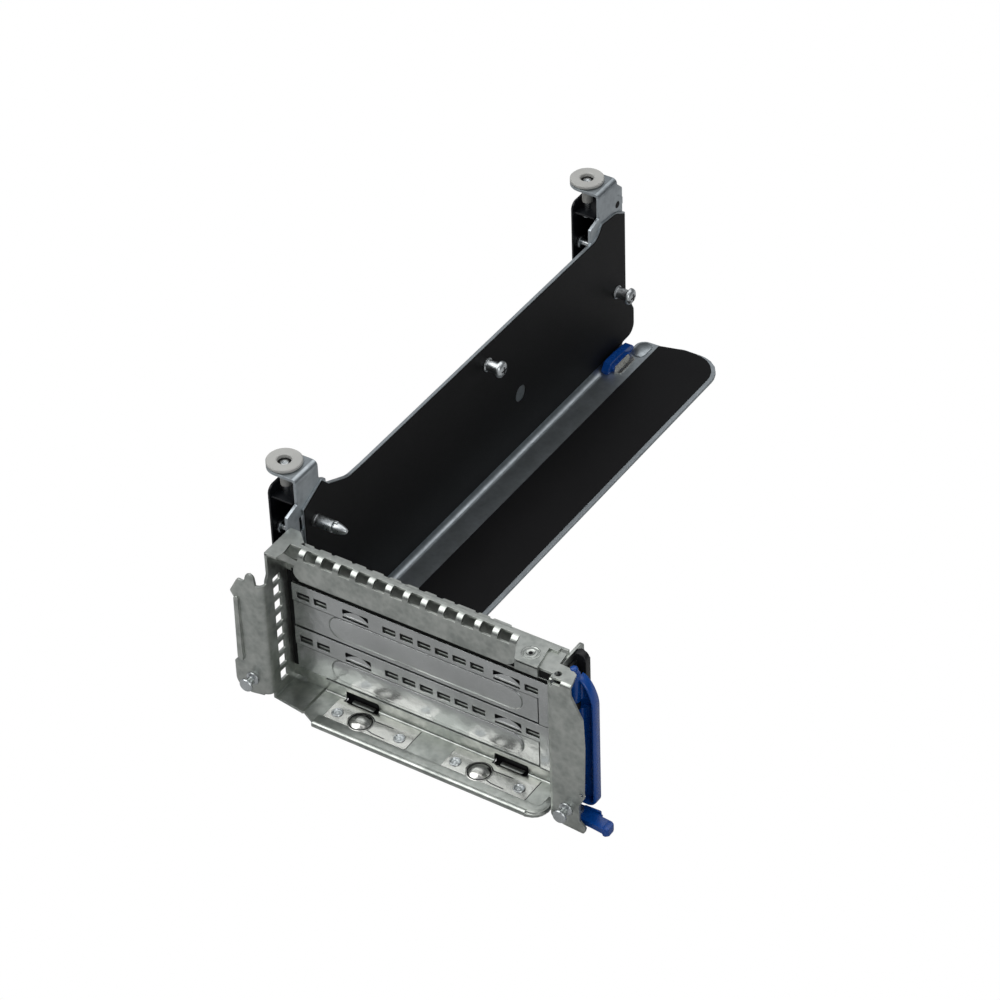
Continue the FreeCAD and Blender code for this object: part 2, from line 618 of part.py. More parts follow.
def spring_strip(i):
    """Thin contact strip on the bottom flange, with a dimpled tongue cut free by a curved slit."""
    z = FLANGE_Z + SHEET
    x = STRIP_LEFT_X + i * STRIP_SPACING
    plate = plate_z(rectangle(x, x + STRIP_LENGTH, STRIP_FRONT, STRIP_FRONT + STRIP_DEPTH, 0.8), z,
                    z + STRIP_THICKNESS)
    centre = Vector(x + STRIP_LENGTH * 0.38, STRIP_FRONT + 3.8, z)
    dome_low = cone(STRIP_DIMPLE_RADIUS, STRIP_DIMPLE_RADIUS - 0.5, centre + Z_AXIS * STRIP_THICKNESS,
                    Z_AXIS, 0.35)
    dome_top = cone(STRIP_DIMPLE_RADIUS - 0.5, STRIP_DIMPLE_RADIUS - 1.6,
                    centre + Z_AXIS * (STRIP_THICKNESS + 0.35),
                    Z_AXIS, 0.25)
    ring = rod(STRIP_DIMPLE_RADIUS + 1.6, centre - Z_AXIS, Z_AXIS, 3)
    ring = ring.cut(rod(STRIP_DIMPLE_RADIUS + 1.0, centre - Z_AXIS * 2, Z_AXIS, 5))
    gate = block(centre.x - 9, centre.x, centre.y - 2.4, centre.y + 2.4, z - 2, z + 3)
    holes = [rod(STRIP_RIVET_SHANK, Vector(hx, hy, z - 1), Z_AXIS, 3) for hx, hy in strip_rivet_places()]
    return cut(join([plate, dome_low, dome_top]), [ring.cut(gate)] + holes)


def spring_strip_rivets():
    """Flat rivets that hold both contact strips."""
    rivets = []
    top = FLANGE_Z + SHEET + STRIP_THICKNESS
    for x, y in strip_rivet_places():
        shank = rod(STRIP_RIVET_SHANK, Vector(x, y, FLANGE_Z), Z_AXIS, top - FLANGE_Z + 0.1)
        head = cone(STRIP_RIVET_RADIUS, STRIP_RIVET_RADIUS - 0.5, Vector(x, y, top), Z_AXIS, 0.5)
        rivets.append(join([shank, head]))
    return Part.makeCompound(rivets)


def guide_pin(x):
    """Headed guide pin staked in a wing."""
    collar = cone(GUIDE_PIN_RADIUS, GUIDE_PIN_RADIUS - 0.4, Vector(x, 0, GUIDE_PIN_Z), Y_AXIS * -1, 0.9)
    shank = rod(GUIDE_PIN_NECK, Vector(x, SHEET, GUIDE_PIN_Z), Y_AXIS * -1, SHEET + GUIDE_PIN_REACH - 0.5)
    disc = rod(GUIDE_PIN_RADIUS, Vector(x, 1.3 - GUIDE_PIN_REACH, GUIDE_PIN_Z), Y_AXIS * -1, 1.0)
    edge = cone(GUIDE_PIN_RADIUS, GUIDE_PIN_RADIUS - 0.3, Vector(x, 0.3 - GUIDE_PIN_REACH, GUIDE_PIN_Z),
                Y_AXIS * -1, 0.3)
    tail = cone(GUIDE_PIN_NECK + 0.6, GUIDE_PIN_NECK, Vector(x, SHEET, GUIDE_PIN_Z), Y_AXIS, 0.6)
    return join([collar, shank, disc, edge, tail])


def bracket_rivet():
    """Low-headed rivet through the plateau and the right bracket's tab."""
    x, y = bracket_rivet_place()
    low = BODY_HEIGHT - 2 * SHEET
    shank = rod(BRACKET_RIVET_RADIUS, Vector(x, y, low), Z_AXIS, 2 * SHEET)
    head = cone(BRACKET_RIVET_RADIUS + 1.4, BRACKET_RIVET_RADIUS + 1.0, Vector(x, y, BODY_HEIGHT), Z_AXIS,
                0.3)
    tail = cone(BRACKET_RIVET_RADIUS + 0.8, BRACKET_RIVET_RADIUS, Vector(x, y, low), Z_AXIS * -1, 0.6)
    return join([shank, head, tail])


def sheet_rivet(start, axis, grip, head):
    """Rivet with its factory head before start and its set head flush at the end of the grip."""
    shank = rod(WALL_RIVET_RADIUS, start, axis, grip)
    dome = cone(WALL_RIVET_RADIUS + 0.8, WALL_RIVET_RADIUS + 0.4, start, axis * -1, head)
    return join([shank, dome])


def wall_rivets():
    """Rivets through the panel, the left wall and the slot frame, and through the right bracket."""
    rivets = []
    for z in wall_rivet_heights():
        start = Vector(SHEET + FRAME_SHEET, WALL_RIVET_Y, z)
        rivets.append(sheet_rivet(start, X_AXIS * -1, FRAME_SHEET + SHEET + PANEL_SHEET, WALL_RIVET_HEAD))
        start = Vector(BODY_WIDTH - SHEET - FRAME_SHEET, WALL_RIVET_Y, z)
        rivets.append(sheet_rivet(start, X_AXIS, FRAME_SHEET + SHEET, WALL_RIVET_HEAD))
    for x in floor_rivet_xs():
        start = Vector(x, floor_rivet_y(), PANEL_SHEET + FRAME_SHEET)
        rivets.append(sheet_rivet(start, Z_AXIS * -1, PANEL_SHEET + FRAME_SHEET, WALL_RIVET_HEAD))
    return Part.makeCompound(rivets)


def foot_plate(front):
    """Upright sheet of one foot, stepped out from the wall, with its shoulder and its screw tab."""
    outer = -PANEL_SHEET - FOOT_STEP
    rear = front + FOOT_LENGTH
    shoulder = front - FOOT_SHOULDER
    bend_z = FOOT_HEIGHT - FOOT_BEND
    upright = plate_x([
        (shoulder, FOOT_LOW, 1), (shoulder, 71.5, 0.8), (front - 1, 73.7, 1), (front, bend_z - 2),
        (front, bend_z),
        (rear, bend_z), (rear, 76.4, 2), (rear + 4, 73.4, 1), (rear + 4, 69.9, 0.5), (front + 4.4, 66),
        (front + 4.4, FOOT_LOW, 1)], outer, outer + PANEL_SHEET)
    bend = bend_along_y(outer + PANEL_SHEET - FOOT_BEND, bend_z, FOOT_BEND, FOOT_BEND - PANEL_SHEET, 0,
                        front, rear)
    root = outer + PANEL_SHEET - FOOT_BEND
    middle = (front + rear) / 2
    tab = plate_z([(root, front), (root, rear), (-FOOT_REACH, rear), (-FOOT_REACH, front)],
                  FOOT_HEIGHT - PANEL_SHEET, FOOT_HEIGHT)
    end = rod(FOOT_LENGTH / 2, Vector(-FOOT_REACH, middle, FOOT_HEIGHT - PANEL_SHEET), Z_AXIS, PANEL_SHEET)
    hole = rod(COLLAR_RADIUS, Vector(-FOOT_REACH, middle, FOOT_HEIGHT - 4), Z_AXIS, 6)
    slot = block(outer - 1, 1, front + 0.4, front + 2.6, 66.4, 72.6)
    oval = plate_x(rectangle(rear - 1.6, rear + 1.2, 67, 71.6, 1.3), outer - 1, outer + PANEL_SHEET + 2)
    return join([upright, bend, tab, end]), [hole, slot, oval]


def main_panel():
    """One long sheet: back wall, floor and the two stepped-out screw feet."""
    outer = -PANEL_SHEET
    bend_z = PANEL_SHEET + PANEL_BEND
    near_rear = NEAR_FOOT_Y + FOOT_LENGTH
    far_rear = FAR_FOOT_Y + FOOT_LENGTH
    wall = plate_x([
        (PANEL_NEAR, bend_z), (PANEL_NEAR, FOOT_LOW + 2, 2), (PANEL_FOOT_FRONT, FOOT_LOW + 2),
        (PANEL_FOOT_FRONT, 70),
        (near_rear + 1.6, 75.4), (near_rear + 6.6, 69.7, 6), (near_rear + 15, PANEL_WALL_TOP + 0.6, 12),
        (near_rear + 24, PANEL_WALL_TOP, 30), (FAR_FOOT_Y - 3, PANEL_WALL_TOP), (FAR_FOOT_Y + 1.2, 72),
        (far_rear + 4.7, 70), (PANEL_END, 69.5, 1), (PANEL_END, 27), (PANEL_TOE, PANEL_TOE_HEIGHT, 3),
        (PANEL_TOE, bend_z + 0.6, 5), (PANEL_TOE - 9, bend_z + 0.6), (PANEL_TOE - 9, bend_z)], outer, 0)
    bend_end = PANEL_TOE - 9
    bend = bend_along_y(PANEL_BEND, bend_z, PANEL_BEND + PANEL_SHEET, PANEL_BEND, 180, FLOOR_NEAR, bend_end)
    floor = plate_z([
        (PANEL_BEND, FLOOR_NEAR), (FLOOR_WIDTH, FLOOR_NEAR, 3), (FLOOR_WIDTH, FLOOR_END, FLOOR_CORNER),
        (22, FLOOR_END, 8), (14, FLOOR_END - 2.6, 8), (3.4, FLOOR_END - 3, 1), (3.4, bend_end),
        (PANEL_BEND, bend_end)],
        0, PANEL_SHEET)
    bead = plate_z(rectangle(4.4, 7.8, bend_end, FLOOR_END - 4, 1.6), PANEL_SHEET - 0.1, PANEL_SHEET + 0.4)
    near_foot, near_holes = foot_plate(NEAR_FOOT_Y)
    far_foot, far_holes = foot_plate(FAR_FOOT_Y)
    far_extra = plate_x(rectangle(far_rear - 0.1, far_rear + 4.9, 66, 79.4, 1), outer - FOOT_STEP, outer)
    whole = join([wall, bend, floor, bead, near_foot, far_foot, far_extra])
    holes = near_holes + far_holes
    for z in wall_rivet_heights():
        holes.append(rod(WALL_RIVET_RADIUS, Vector(outer - 1, WALL_RIVET_Y, z), X_AXIS, 3))
    for x in floor_rivet_xs():
        holes.append(rod(WALL_RIVET_RADIUS, Vector(x, floor_rivet_y(), -1), Z_AXIS, 3))
    for y, z in ((PIN_Y, PIN_Z), (MID_SUPPORT_Y, MID_SUPPORT_Z), (FAR_SUPPORT_Y, FAR_SUPPORT_Z)):
        holes.append(rod(STUD_NECK, Vector(outer - 1, y, z), X_AXIS, 3))
    for front in (NEAR_FOOT_Y, FAR_FOOT_Y):
        holes.append(rod(GUARD_RIVET, Vector(outer - 4, front + GUARD_RIVET_INSET, GUARD_RIVET_Z), X_AXIS, 6))
    holes.append(rear_tab_slot())
    return cut(whole, holes)


def rear_tab_slot():
    y0 = REAR_TAB_Y - REAR_TAB_LENGTH / 2
    return block(REAR_TAB_X, REAR_TAB_X + REAR_TAB_THICKNESS, y0, y0 + REAR_TAB_LENGTH, -1, PANEL_SHEET + 2.6)


def wall_film():
    """Black insulating film on the wall's inner face, with a round window that shows bare metal."""
    near_rear = NEAR_FOOT_Y + FOOT_LENGTH
    low = PANEL_SHEET + PANEL_BEND + 0.5
    top = PANEL_WALL_TOP - 0.4
    outline = plate_x([
        (PANEL_FOOT_FRONT + 1.4, low), (PANEL_FOOT_FRONT + 1.4, 70.6), (near_rear + 1.6, 74.8),
        (near_rear + 6.4, 69.2, 6), (near_rear + 15, top + 0.5, 12), (near_rear + 24, top, 30),
        (FAR_FOOT_Y - 2.8, top), (FAR_FOOT_Y + 1.4, 71.2), (PANEL_END - 0.5, 69, 1), (PANEL_END - 0.5, 27),
        (PANEL_TOE - 0.5, PANEL_TOE_HEIGHT, 3), (PANEL_TOE - 0.5, low + 0.6, 4.5), (PANEL_TOE - 9, low + 0.6),
        (PANEL_TOE - 9, low)], 0, FILM)
    holes = [rod(FILM_HOLE_RADIUS, Vector(-1, FILM_HOLE_Y, FILM_HOLE_Z), X_AXIS, 3)]
    holes.append(rod(PIN_FLANGE, Vector(-1, PIN_Y, PIN_Z), X_AXIS, 3))
    for y, z in ((MID_SUPPORT_Y, MID_SUPPORT_Z), (FAR_SUPPORT_Y, FAR_SUPPORT_Z)):
        holes.append(rod(SUPPORT_RADIUS + 1, Vector(-1, y, z), X_AXIS, 3))
    for front in (NEAR_FOOT_Y, FAR_FOOT_Y):
        holes.append(rod(GUARD_RIVET + 1.2, Vector(-1, front + GUARD_RIVET_INSET, GUARD_RIVET_Z), X_AXIS, 3))
        holes.append(plate_x(rectangle(front + FOOT_LENGTH - 1.6, front + FOOT_LENGTH + 1.2, 67, 71.6, 1.3),
                             -1, 2))
        holes.append(block(-1, 2, front + 0.4, front + 2.6, 66.4, 72.6))
    return cut(outline, holes)


def floor_film():
    """Black insulating film on the floor, short of its edges and of the bare strip by the wall."""
    edge = FLOOR_WIDTH - FILM_EDGE
    near = FRAME_FLOOR_FLANGE_REAR + 1
    end = FLOOR_END - 0.5
    return plate_z([(BARE_STRIP, near), (edge, near), (edge, end, FLOOR_CORNER), (22, end, 7),
                    (BARE_STRIP, end - 2.6, 1)],
                   PANEL_SHEET, PANEL_SHEET + FILM)


def foot_middle(front):
    return front + FOOT_LENGTH / 2


def foot_pad(front):
    """Plastic pad clipped in the tab: disc above, neck through the hole, barbed collar below."""
    y = foot_middle(front)
    top = FOOT_HEIGHT + PAD_THICKNESS
    disc = rod(PAD_RADIUS, Vector(-FOOT_REACH, y, FOOT_HEIGHT), Z_AXIS, PAD_THICKNESS - 0.4)
    edge = cone(PAD_RADIUS, PAD_RADIUS - 0.4, Vector(-FOOT_REACH, y, top - 0.4), Z_AXIS, 0.4)
    low = FOOT_HEIGHT - PANEL_SHEET
    neck = rod(COLLAR_RADIUS, Vector(-FOOT_REACH, y, low), Z_AXIS, PANEL_SHEET)
    barb = cone(COLLAR_RADIUS + 0.5, COLLAR_RADIUS - 0.2, Vector(-FOOT_REACH, y, low), Z_AXIS * -1, 1.4)
    collar = rod(COLLAR_RADIUS - 0.4, Vector(-FOOT_REACH, y, low), Z_AXIS * -1, COLLAR_LENGTH)
    mouth = rod(PAD_HOLE, Vector(-FOOT_REACH, y, FOOT_HEIGHT), Z_AXIS, PAD_THICKNESS + 1)
    bore = rod(SCREW_RADIUS + SCREW_CLEARANCE, Vector(-FOOT_REACH, y, low - COLLAR_LENGTH - 1), Z_AXIS, 20)
    return cut(join([disc, edge, neck, barb, collar]), [mouth, bore])


def captive_screw(front):
    """Screw that turns in the pad's collar: pointed end up in the pad, socket head hanging below."""
    y = foot_middle(front)
    tip = FOOT_HEIGHT + PAD_THICKNESS - 0.6
    low = tip - SCREW_LENGTH
    shank = rod(SCREW_RADIUS, Vector(-FOOT_REACH, y, low), Z_AXIS, SCREW_LENGTH - 0.6)
    point = cone(SCREW_RADIUS, SCREW_RADIUS - 0.6, Vector(-FOOT_REACH, y, tip - 0.6), Z_AXIS, 0.6)
    head = rod(SCREW_HEAD_RADIUS, Vector(-FOOT_REACH, y, low - SCREW_HEAD_HEIGHT), Z_AXIS,
               SCREW_HEAD_HEIGHT - 0.4)
    edge = cone(SCREW_HEAD_RADIUS, SCREW_HEAD_RADIUS - 0.4, Vector(-FOOT_REACH, y, low - 0.4), Z_AXIS, 0.4)
    hex_radius = SCREW_HEAD_RADIUS * 0.55
    corners = []
    for i in range(6):
        turn = math.radians(60 * i)
        corners.append((-FOOT_REACH + hex_radius * math.cos(turn), y + hex_radius * math.sin(turn)))
    socket = plate_z(corners, low - SCREW_HEAD_HEIGHT - 1, low - SCREW_HEAD_HEIGHT / 2)
    washer = rod(SCREW_RADIUS + 1.0,
                 Vector(-FOOT_REACH, y, FOOT_HEIGHT - PANEL_SHEET - COLLAR_LENGTH - 1.2), Z_AXIS, 0.8)
    return cut(join([shank, point, head, edge, washer]), [socket])


def guard(front):
    """Folded black guard beside a foot: outer plate, low web, shelf and a flange against the foot."""
    outer = -GUARD_REACH
    inner = -PANEL_SHEET - FOOT_STEP
    rear = front + FOOT_LENGTH
    plate = plate_x([(front, GUARD_LOW, 2), (front, GUARD_TOP, 3), (rear, GUARD_TOP, 3),
                     (rear, GUARD_LOW, 2)],
                    outer, outer + GUARD_SHEET)
    web = plate_y(rectangle(outer, inner, GUARD_LOW + 2, GUARD_SHELF - 6), rear - GUARD_SHEET, rear)
    flange = plate_x([(rear - GUARD_SHEET, GUARD_LOW + 2), (front + 1, GUARD_LOW + 2, 2),
                      (front + 1, 64, 2), (rear - GUARD_SHEET, 64)], inner - GUARD_SHEET, inner)
    floor = plate_z([(outer, front + 1, 1), (inner, front + 1), (inner, rear), (outer, rear)],
                    GUARD_LOW + 2, GUARD_LOW + 2 + GUARD_SHEET)
    whole = join([plate, web, flange, floor])
    hole = rod(GUARD_RIVET, Vector(outer - 2, front + GUARD_RIVET_INSET, GUARD_RIVET_Z), X_AXIS,
               GUARD_REACH + 2)
    return cut(whole, [hole])


def guard_rivet(front):
    """Spacer rivet across the guard into the foot."""
    start = Vector(-GUARD_REACH, front + GUARD_RIVET_INSET, GUARD_RIVET_Z)
    head = cone(GUARD_RIVET + 0.8, GUARD_RIVET + 0.3, start, X_AXIS * -1, 0.6)
    shank = rod(GUARD_RIVET, start, X_AXIS, GUARD_REACH - FOOT_STEP)
    return join([head, shank])


def snap_pin():
    """Plastic-board snap pin: flange on the wall, shank, and a barbed tip."""
    def at(x):
        return Vector(x, PIN_Y, PIN_Z)
    neck = rod(STUD_NECK, at(-PANEL_SHEET), X_AXIS, PANEL_SHEET + 0.1)
    flange = rod(PIN_FLANGE, at(0), X_AXIS, 1.2)
    shank = rod(PIN_RADIUS, at(1.2), X_AXIS, PIN_LENGTH * 0.5)
    waist = rod(PIN_RADIUS * 0.6, at(1.2 + PIN_LENGTH * 0.5), X_AXIS, PIN_LENGTH * 0.12)
    barb_x = 1.2 + PIN_LENGTH * 0.6
    barb = cone(PIN_RADIUS, PIN_RADIUS * 0.4, at(barb_x), X_AXIS, PIN_LENGTH - barb_x)
    return join([neck, flange, shank, waist, barb])


def standoff(y, z):
    """Round standoff staked in the wall, with a bore for its screw."""
    neck = rod(STUD_NECK, Vector(-PANEL_SHEET, y, z), X_AXIS, PANEL_SHEET + 0.1)
    base = rod(SUPPORT_RADIUS + 0.8, Vector(0, y, z), X_AXIS, 0.8)
    body = rod(SUPPORT_RADIUS, Vector(0.8, y, z), X_AXIS, SUPPORT_HEIGHT - 0.8)
    bore = rod(SUPPORT_SCREW, Vector(SUPPORT_HEIGHT - 3.4, y, z), X_AXIS, 8)
    return cut(join([neck, base, body]), [bore])


def support_screw(y, z):
    """Pan head screw seated on its standoff, with a cross recess."""
    shank = rod(SUPPORT_SCREW, Vector(SUPPORT_HEIGHT - 3.0, y, z), X_AXIS, 3.0)
    head = rod(SUPPORT_HEAD, Vector(SUPPORT_HEIGHT, y, z), X_AXIS, SUPPORT_HEAD_HEIGHT - 0.8)
    crown_x = SUPPORT_HEIGHT + SUPPORT_HEAD_HEIGHT - 0.8
    crown = cone(SUPPORT_HEAD, SUPPORT_HEAD - 0.9, Vector(crown_x, y, z), X_AXIS, 0.8)
    top = SUPPORT_HEIGHT + SUPPORT_HEAD_HEIGHT
    arms = [block(top - 1, top + 1, y - 1.5, y + 1.5, z - 0.3, z + 0.3),
            block(top - 1, top + 1, y - 0.3, y + 0.3, z - 1.5, z + 1.5)]
    return cut(join([shank, head, crown]), arms)


def retainer_latch():
    """Moulded latch: a shallow pan open to the front, carried by a hub with three knuckles."""
    front = LATCH_AXIS_Y - 0.6
    rear = front + LATCH_DEPTH
    def outline(inset, radius):
        left = LATCH_AXIS_X + LATCH_HUB * 0.6 + inset
        return [(left, LATCH_LOW + inset, 1), (LATCH_EDGE - inset, LATCH_LOW + inset, max(5 - inset, 1)),
                (LATCH_EDGE - inset, LATCH_TOP - 6, radius), (left + 1.5, LATCH_TOP - inset, 0.6),
                (left, LATCH_TOP - inset)]
    pan = plate_y(outline(0, 6), front, rear)
    hollow = plate_y(outline(LATCH_RIM * 0.4, 5), front - 1, rear - LATCH_WALL)
    pan = pan.cut(hollow)
    rib = block(LATCH_AXIS_X + LATCH_HUB * 0.6, LATCH_AXIS_X + LATCH_HUB * 0.6 + LATCH_WALL,
                front, rear, LATCH_LOW + 0.5, LATCH_TOP - 1)
    hub = rod(LATCH_HUB, Vector(LATCH_AXIS_X, LATCH_AXIS_Y, LATCH_LOW + 1), Z_AXIS,
              LATCH_TOP - LATCH_LOW - 0.6)
    knob = cone(LATCH_HUB, LATCH_HUB - 0.6, Vector(LATCH_AXIS_X, LATCH_AXIS_Y, LATCH_TOP + 0.4), Z_AXIS, 0.6)
    bore = rod(LATCH_PIN + PIN_CLEARANCE, Vector(LATCH_AXIS_X, LATCH_AXIS_Y, LATCH_LOW - 2), Z_AXIS,
               LATCH_TOP - LATCH_LOW - 1)
    gaps = []
    for low, high in ear_spans():
        gap_radius = LATCH_HUB + EAR_GAP
        gaps.append(rod(gap_radius, Vector(LATCH_AXIS_X, LATCH_AXIS_Y, low - EAR_GAP), Z_AXIS,
                        high - low + 2 * EAR_GAP))
    return cut(join([pan, rib, hub, knob]), [bore] + gaps)


def ear_spans():
    """Heights of the two ears that carry the latch pin."""
    return [(LATCH_LOW + EAR_INSET, LATCH_LOW + EAR_INSET + EAR_HEIGHT),
            (LATCH_TOP - EAR_INSET - EAR_HEIGHT, LATCH_TOP - EAR_INSET)]


def latch_pin():
    low, high = ear_spans()[0][0], ear_spans()[1][1]
    return rod(LATCH_PIN, Vector(LATCH_AXIS_X, LATCH_AXIS_Y, low - 3), Z_AXIS, high - low + 6)


def latch_guide():
    """Black moulded block on the right wall: base plate, two ears for the pin, and a rounded stop behind."""
    wall = BODY_WIDTH
    base = plate_x([(WING_BEND + 3.6, LATCH_LOW + 3, 2), (FRAME_FLANGE_REAR, LATCH_LOW + 3, 2),
                    (FRAME_FLANGE_REAR, LATCH_TOP, 2), (WING_BEND + 3.6, LATCH_TOP, 2)], wall,
                    wall + GUIDE_BASE)
    stop = plate_y([(wall, GUIDE_LOW), (wall + GUIDE_REACH, GUIDE_LOW, 2), (wall + GUIDE_REACH, GUIDE_TOP, 3),
                    (wall, GUIDE_TOP, 2.5)], GUIDE_FRONT, FRAME_FLANGE_REAR)
    ears = []
    for low, high in ear_spans():
        arm = block(wall, LATCH_AXIS_X, LATCH_AXIS_Y - LATCH_HUB + 0.2, LATCH_AXIS_Y + LATCH_HUB - 0.2, low,
                    high)
        ring = rod(LATCH_HUB - 0.2, Vector(LATCH_AXIS_X, LATCH_AXIS_Y, low), Z_AXIS, high - low)
        ears += [arm, ring]
    hole = rod(LATCH_PIN, Vector(LATCH_AXIS_X, LATCH_AXIS_Y, 0), Z_AXIS, BODY_HEIGHT)
    heads = [rod(WALL_RIVET_RADIUS + 1.0, Vector(wall - 1, WALL_RIVET_Y, z), X_AXIS,
                 3) for z in wall_rivet_heights()]
    return cut(join([base, stop] + ears), [hole] + heads)


def release_lever():
    """Small blue lever behind the foot of the right wing, with a ridge along its rear edge and a bent tip."""
    outline = [(LEVER_X - 3.2, 3.0, 2), (LEVER_X + 2.4, 2.6, 1), (135.9, 3.0, 2), (140.8, 1.5, 1.4),
               (140.3, 7.3, 1.6), (134.8, 9.3, 2), (LEVER_X - 3.2, 9.0, 2)]
    top = LEVER_Z + LEVER_THICKNESS
    body = plate_z(outline, LEVER_Z, top)
    ridge = plate_z([(LEVER_X + 0.2, 8.0, 0.5), (134.6, 8.4, 0.5), (134.6, 9.2, 0.3),
                     (LEVER_X + 0.2, 9.0, 0.3)],
                    top - 0.2, top + 0.7)
    tip = plate_z([(138.2, 2.4, 0.3), (140.7, 1.6, 0.4), (140.5, 5.5, 0.4), (138.6, 6.0, 0.3)],
                  LEVER_Z - 1.2, LEVER_Z + 0.2)
    bore = rod(LEVER_PIN + PIN_CLEARANCE, Vector(LEVER_X, LEVER_Y, LEVER_Z - 3), Z_AXIS, 8)
    return cut(join([body, ridge, tip]), [bore])


def lever_pin():
    """Headed pin staked in the bracket's bottom tab."""
    low = LEVER_Z - LEVER_GAP - SHEET
    top = LEVER_Z + LEVER_THICKNESS + 0.1
    shank = rod(LEVER_PIN, Vector(LEVER_X, LEVER_Y, low), Z_AXIS, top - low)
    head = rod(LEVER_PIN + 0.8, Vector(LEVER_X, LEVER_Y, top), Z_AXIS, 0.5)
    return join([shank, head])


def rear_clip_tab():
    """Blue tab that stands through a slot of the floor beside the wall."""
    y0 = REAR_TAB_Y - REAR_TAB_LENGTH / 2
    y1 = y0 + REAR_TAB_LENGTH
    x0 = REAR_TAB_X
    x1 = REAR_TAB_X + REAR_TAB_THICKNESS
    blade = plate_x([(y0, 0), (y1, 0), (y1, REAR_TAB_TOP - 1, 3), (y0 + 2, REAR_TAB_TOP, 4),
                     (y0, REAR_TAB_TOP - 4, 2)],
                    x0, x1)
    wall = plate_x([(y0 + 3, PANEL_SHEET), (y1 - 3, PANEL_SHEET), (y1 - 3, 4.2, 1), (y0 + 3, 4.2, 1)],
                   x1, x1 + 0.9)
    return join([blade, wall])


def rear_clip():
    """Bright spring clip that grips the blue tab on the floor."""
    x0 = REAR_TAB_X + REAR_TAB_THICKNESS
    z = PANEL_SHEET
    y0 = REAR_TAB_Y - REAR_TAB_LENGTH * 0.4
    y1 = REAR_TAB_Y + REAR_TAB_LENGTH * 0.3
    plate = plate_z([(x0 + 0.9, y0, 0.6), (x0 + 4.2, y0 + 1.5, 0.8), (x0 + 4.2, y1 - 1.5, 0.8),
                     (x0 + 0.9, y1, 0.6)],
                    z, z + 0.5)
    lip = plate_x([(y0 + 1, z), (y1 - 1, z), (y1 - 2, z + 2.2, 0.5), (y0 + 2, z + 2.2, 0.5)], x0 + 0.9,
                  x0 + 1.3)
    return join([plate, lip])


NODES = {
    "faceplate": faceplate(),
    "right_bracket": right_bracket(),
    "slot_frame": slot_frame(),
    "lower_slot_cover": slot_cover(0),
    "upper_slot_cover": slot_cover(1),
    "left_spring_strip": spring_strip(0),
    "right_spring_strip": spring_strip(1),
    "spring_strip_rivets": spring_strip_rivets(),
    "left_guide_pin": guide_pin(-GUIDE_PIN_INSET),
    "right_guide_pin": guide_pin(right_pin_x()),
    "bracket_rivet": bracket_rivet(),
    "wall_rivets": wall_rivets(),
    "main_panel": main_panel(),
    "wall_film": wall_film(),
    "floor_film": floor_film(),
    "near_foot_pad": foot_pad(NEAR_FOOT_Y),
    "far_foot_pad": foot_pad(FAR_FOOT_Y),
    "near_captive_screw": captive_screw(NEAR_FOOT_Y),
    "far_captive_screw": captive_screw(FAR_FOOT_Y),
    "near_guard": guard(NEAR_FOOT_Y),
    "far_guard": guard(FAR_FOOT_Y),
    "near_guard_rivet": guard_rivet(NEAR_FOOT_Y),
    "far_guard_rivet": guard_rivet(FAR_FOOT_Y),
    "snap_pin": snap_pin(),
    "middle_standoff": standoff(MID_SUPPORT_Y, MID_SUPPORT_Z),
    "far_standoff": standoff(FAR_SUPPORT_Y, FAR_SUPPORT_Z),
    "middle_screw": support_screw(MID_SUPPORT_Y, MID_SUPPORT_Z),
    "far_screw": support_screw(FAR_SUPPORT_Y, FAR_SUPPORT_Z),
    "retainer_latch": retainer_latch(),
    "latch_pin": latch_pin(),
    "latch_guide": latch_guide(),
    "release_lever": release_lever(),
    "lever_pin": lever_pin(),
    "rear_clip_tab": rear_clip_tab(),
    "rear_clip": rear_clip(),
}

# The origin goes under the middle of the whole cage, at the height of what it stands on.
box = Part.makeCompound(list(NODES.values())).optimalBoundingBox(False)
shift = Vector(-(box.XMin + box.XMax) / 2, -(box.YMin + box.YMax) / 2, -box.ZMin)

os.makedirs("parts", exist_ok=True)
for name, shape in NODES.items():
    shape.translated(shift).exportStep("parts/" + name + ".step")
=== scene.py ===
import json
import math

import bmesh
import bpy
from mathutils import Matrix, Vector

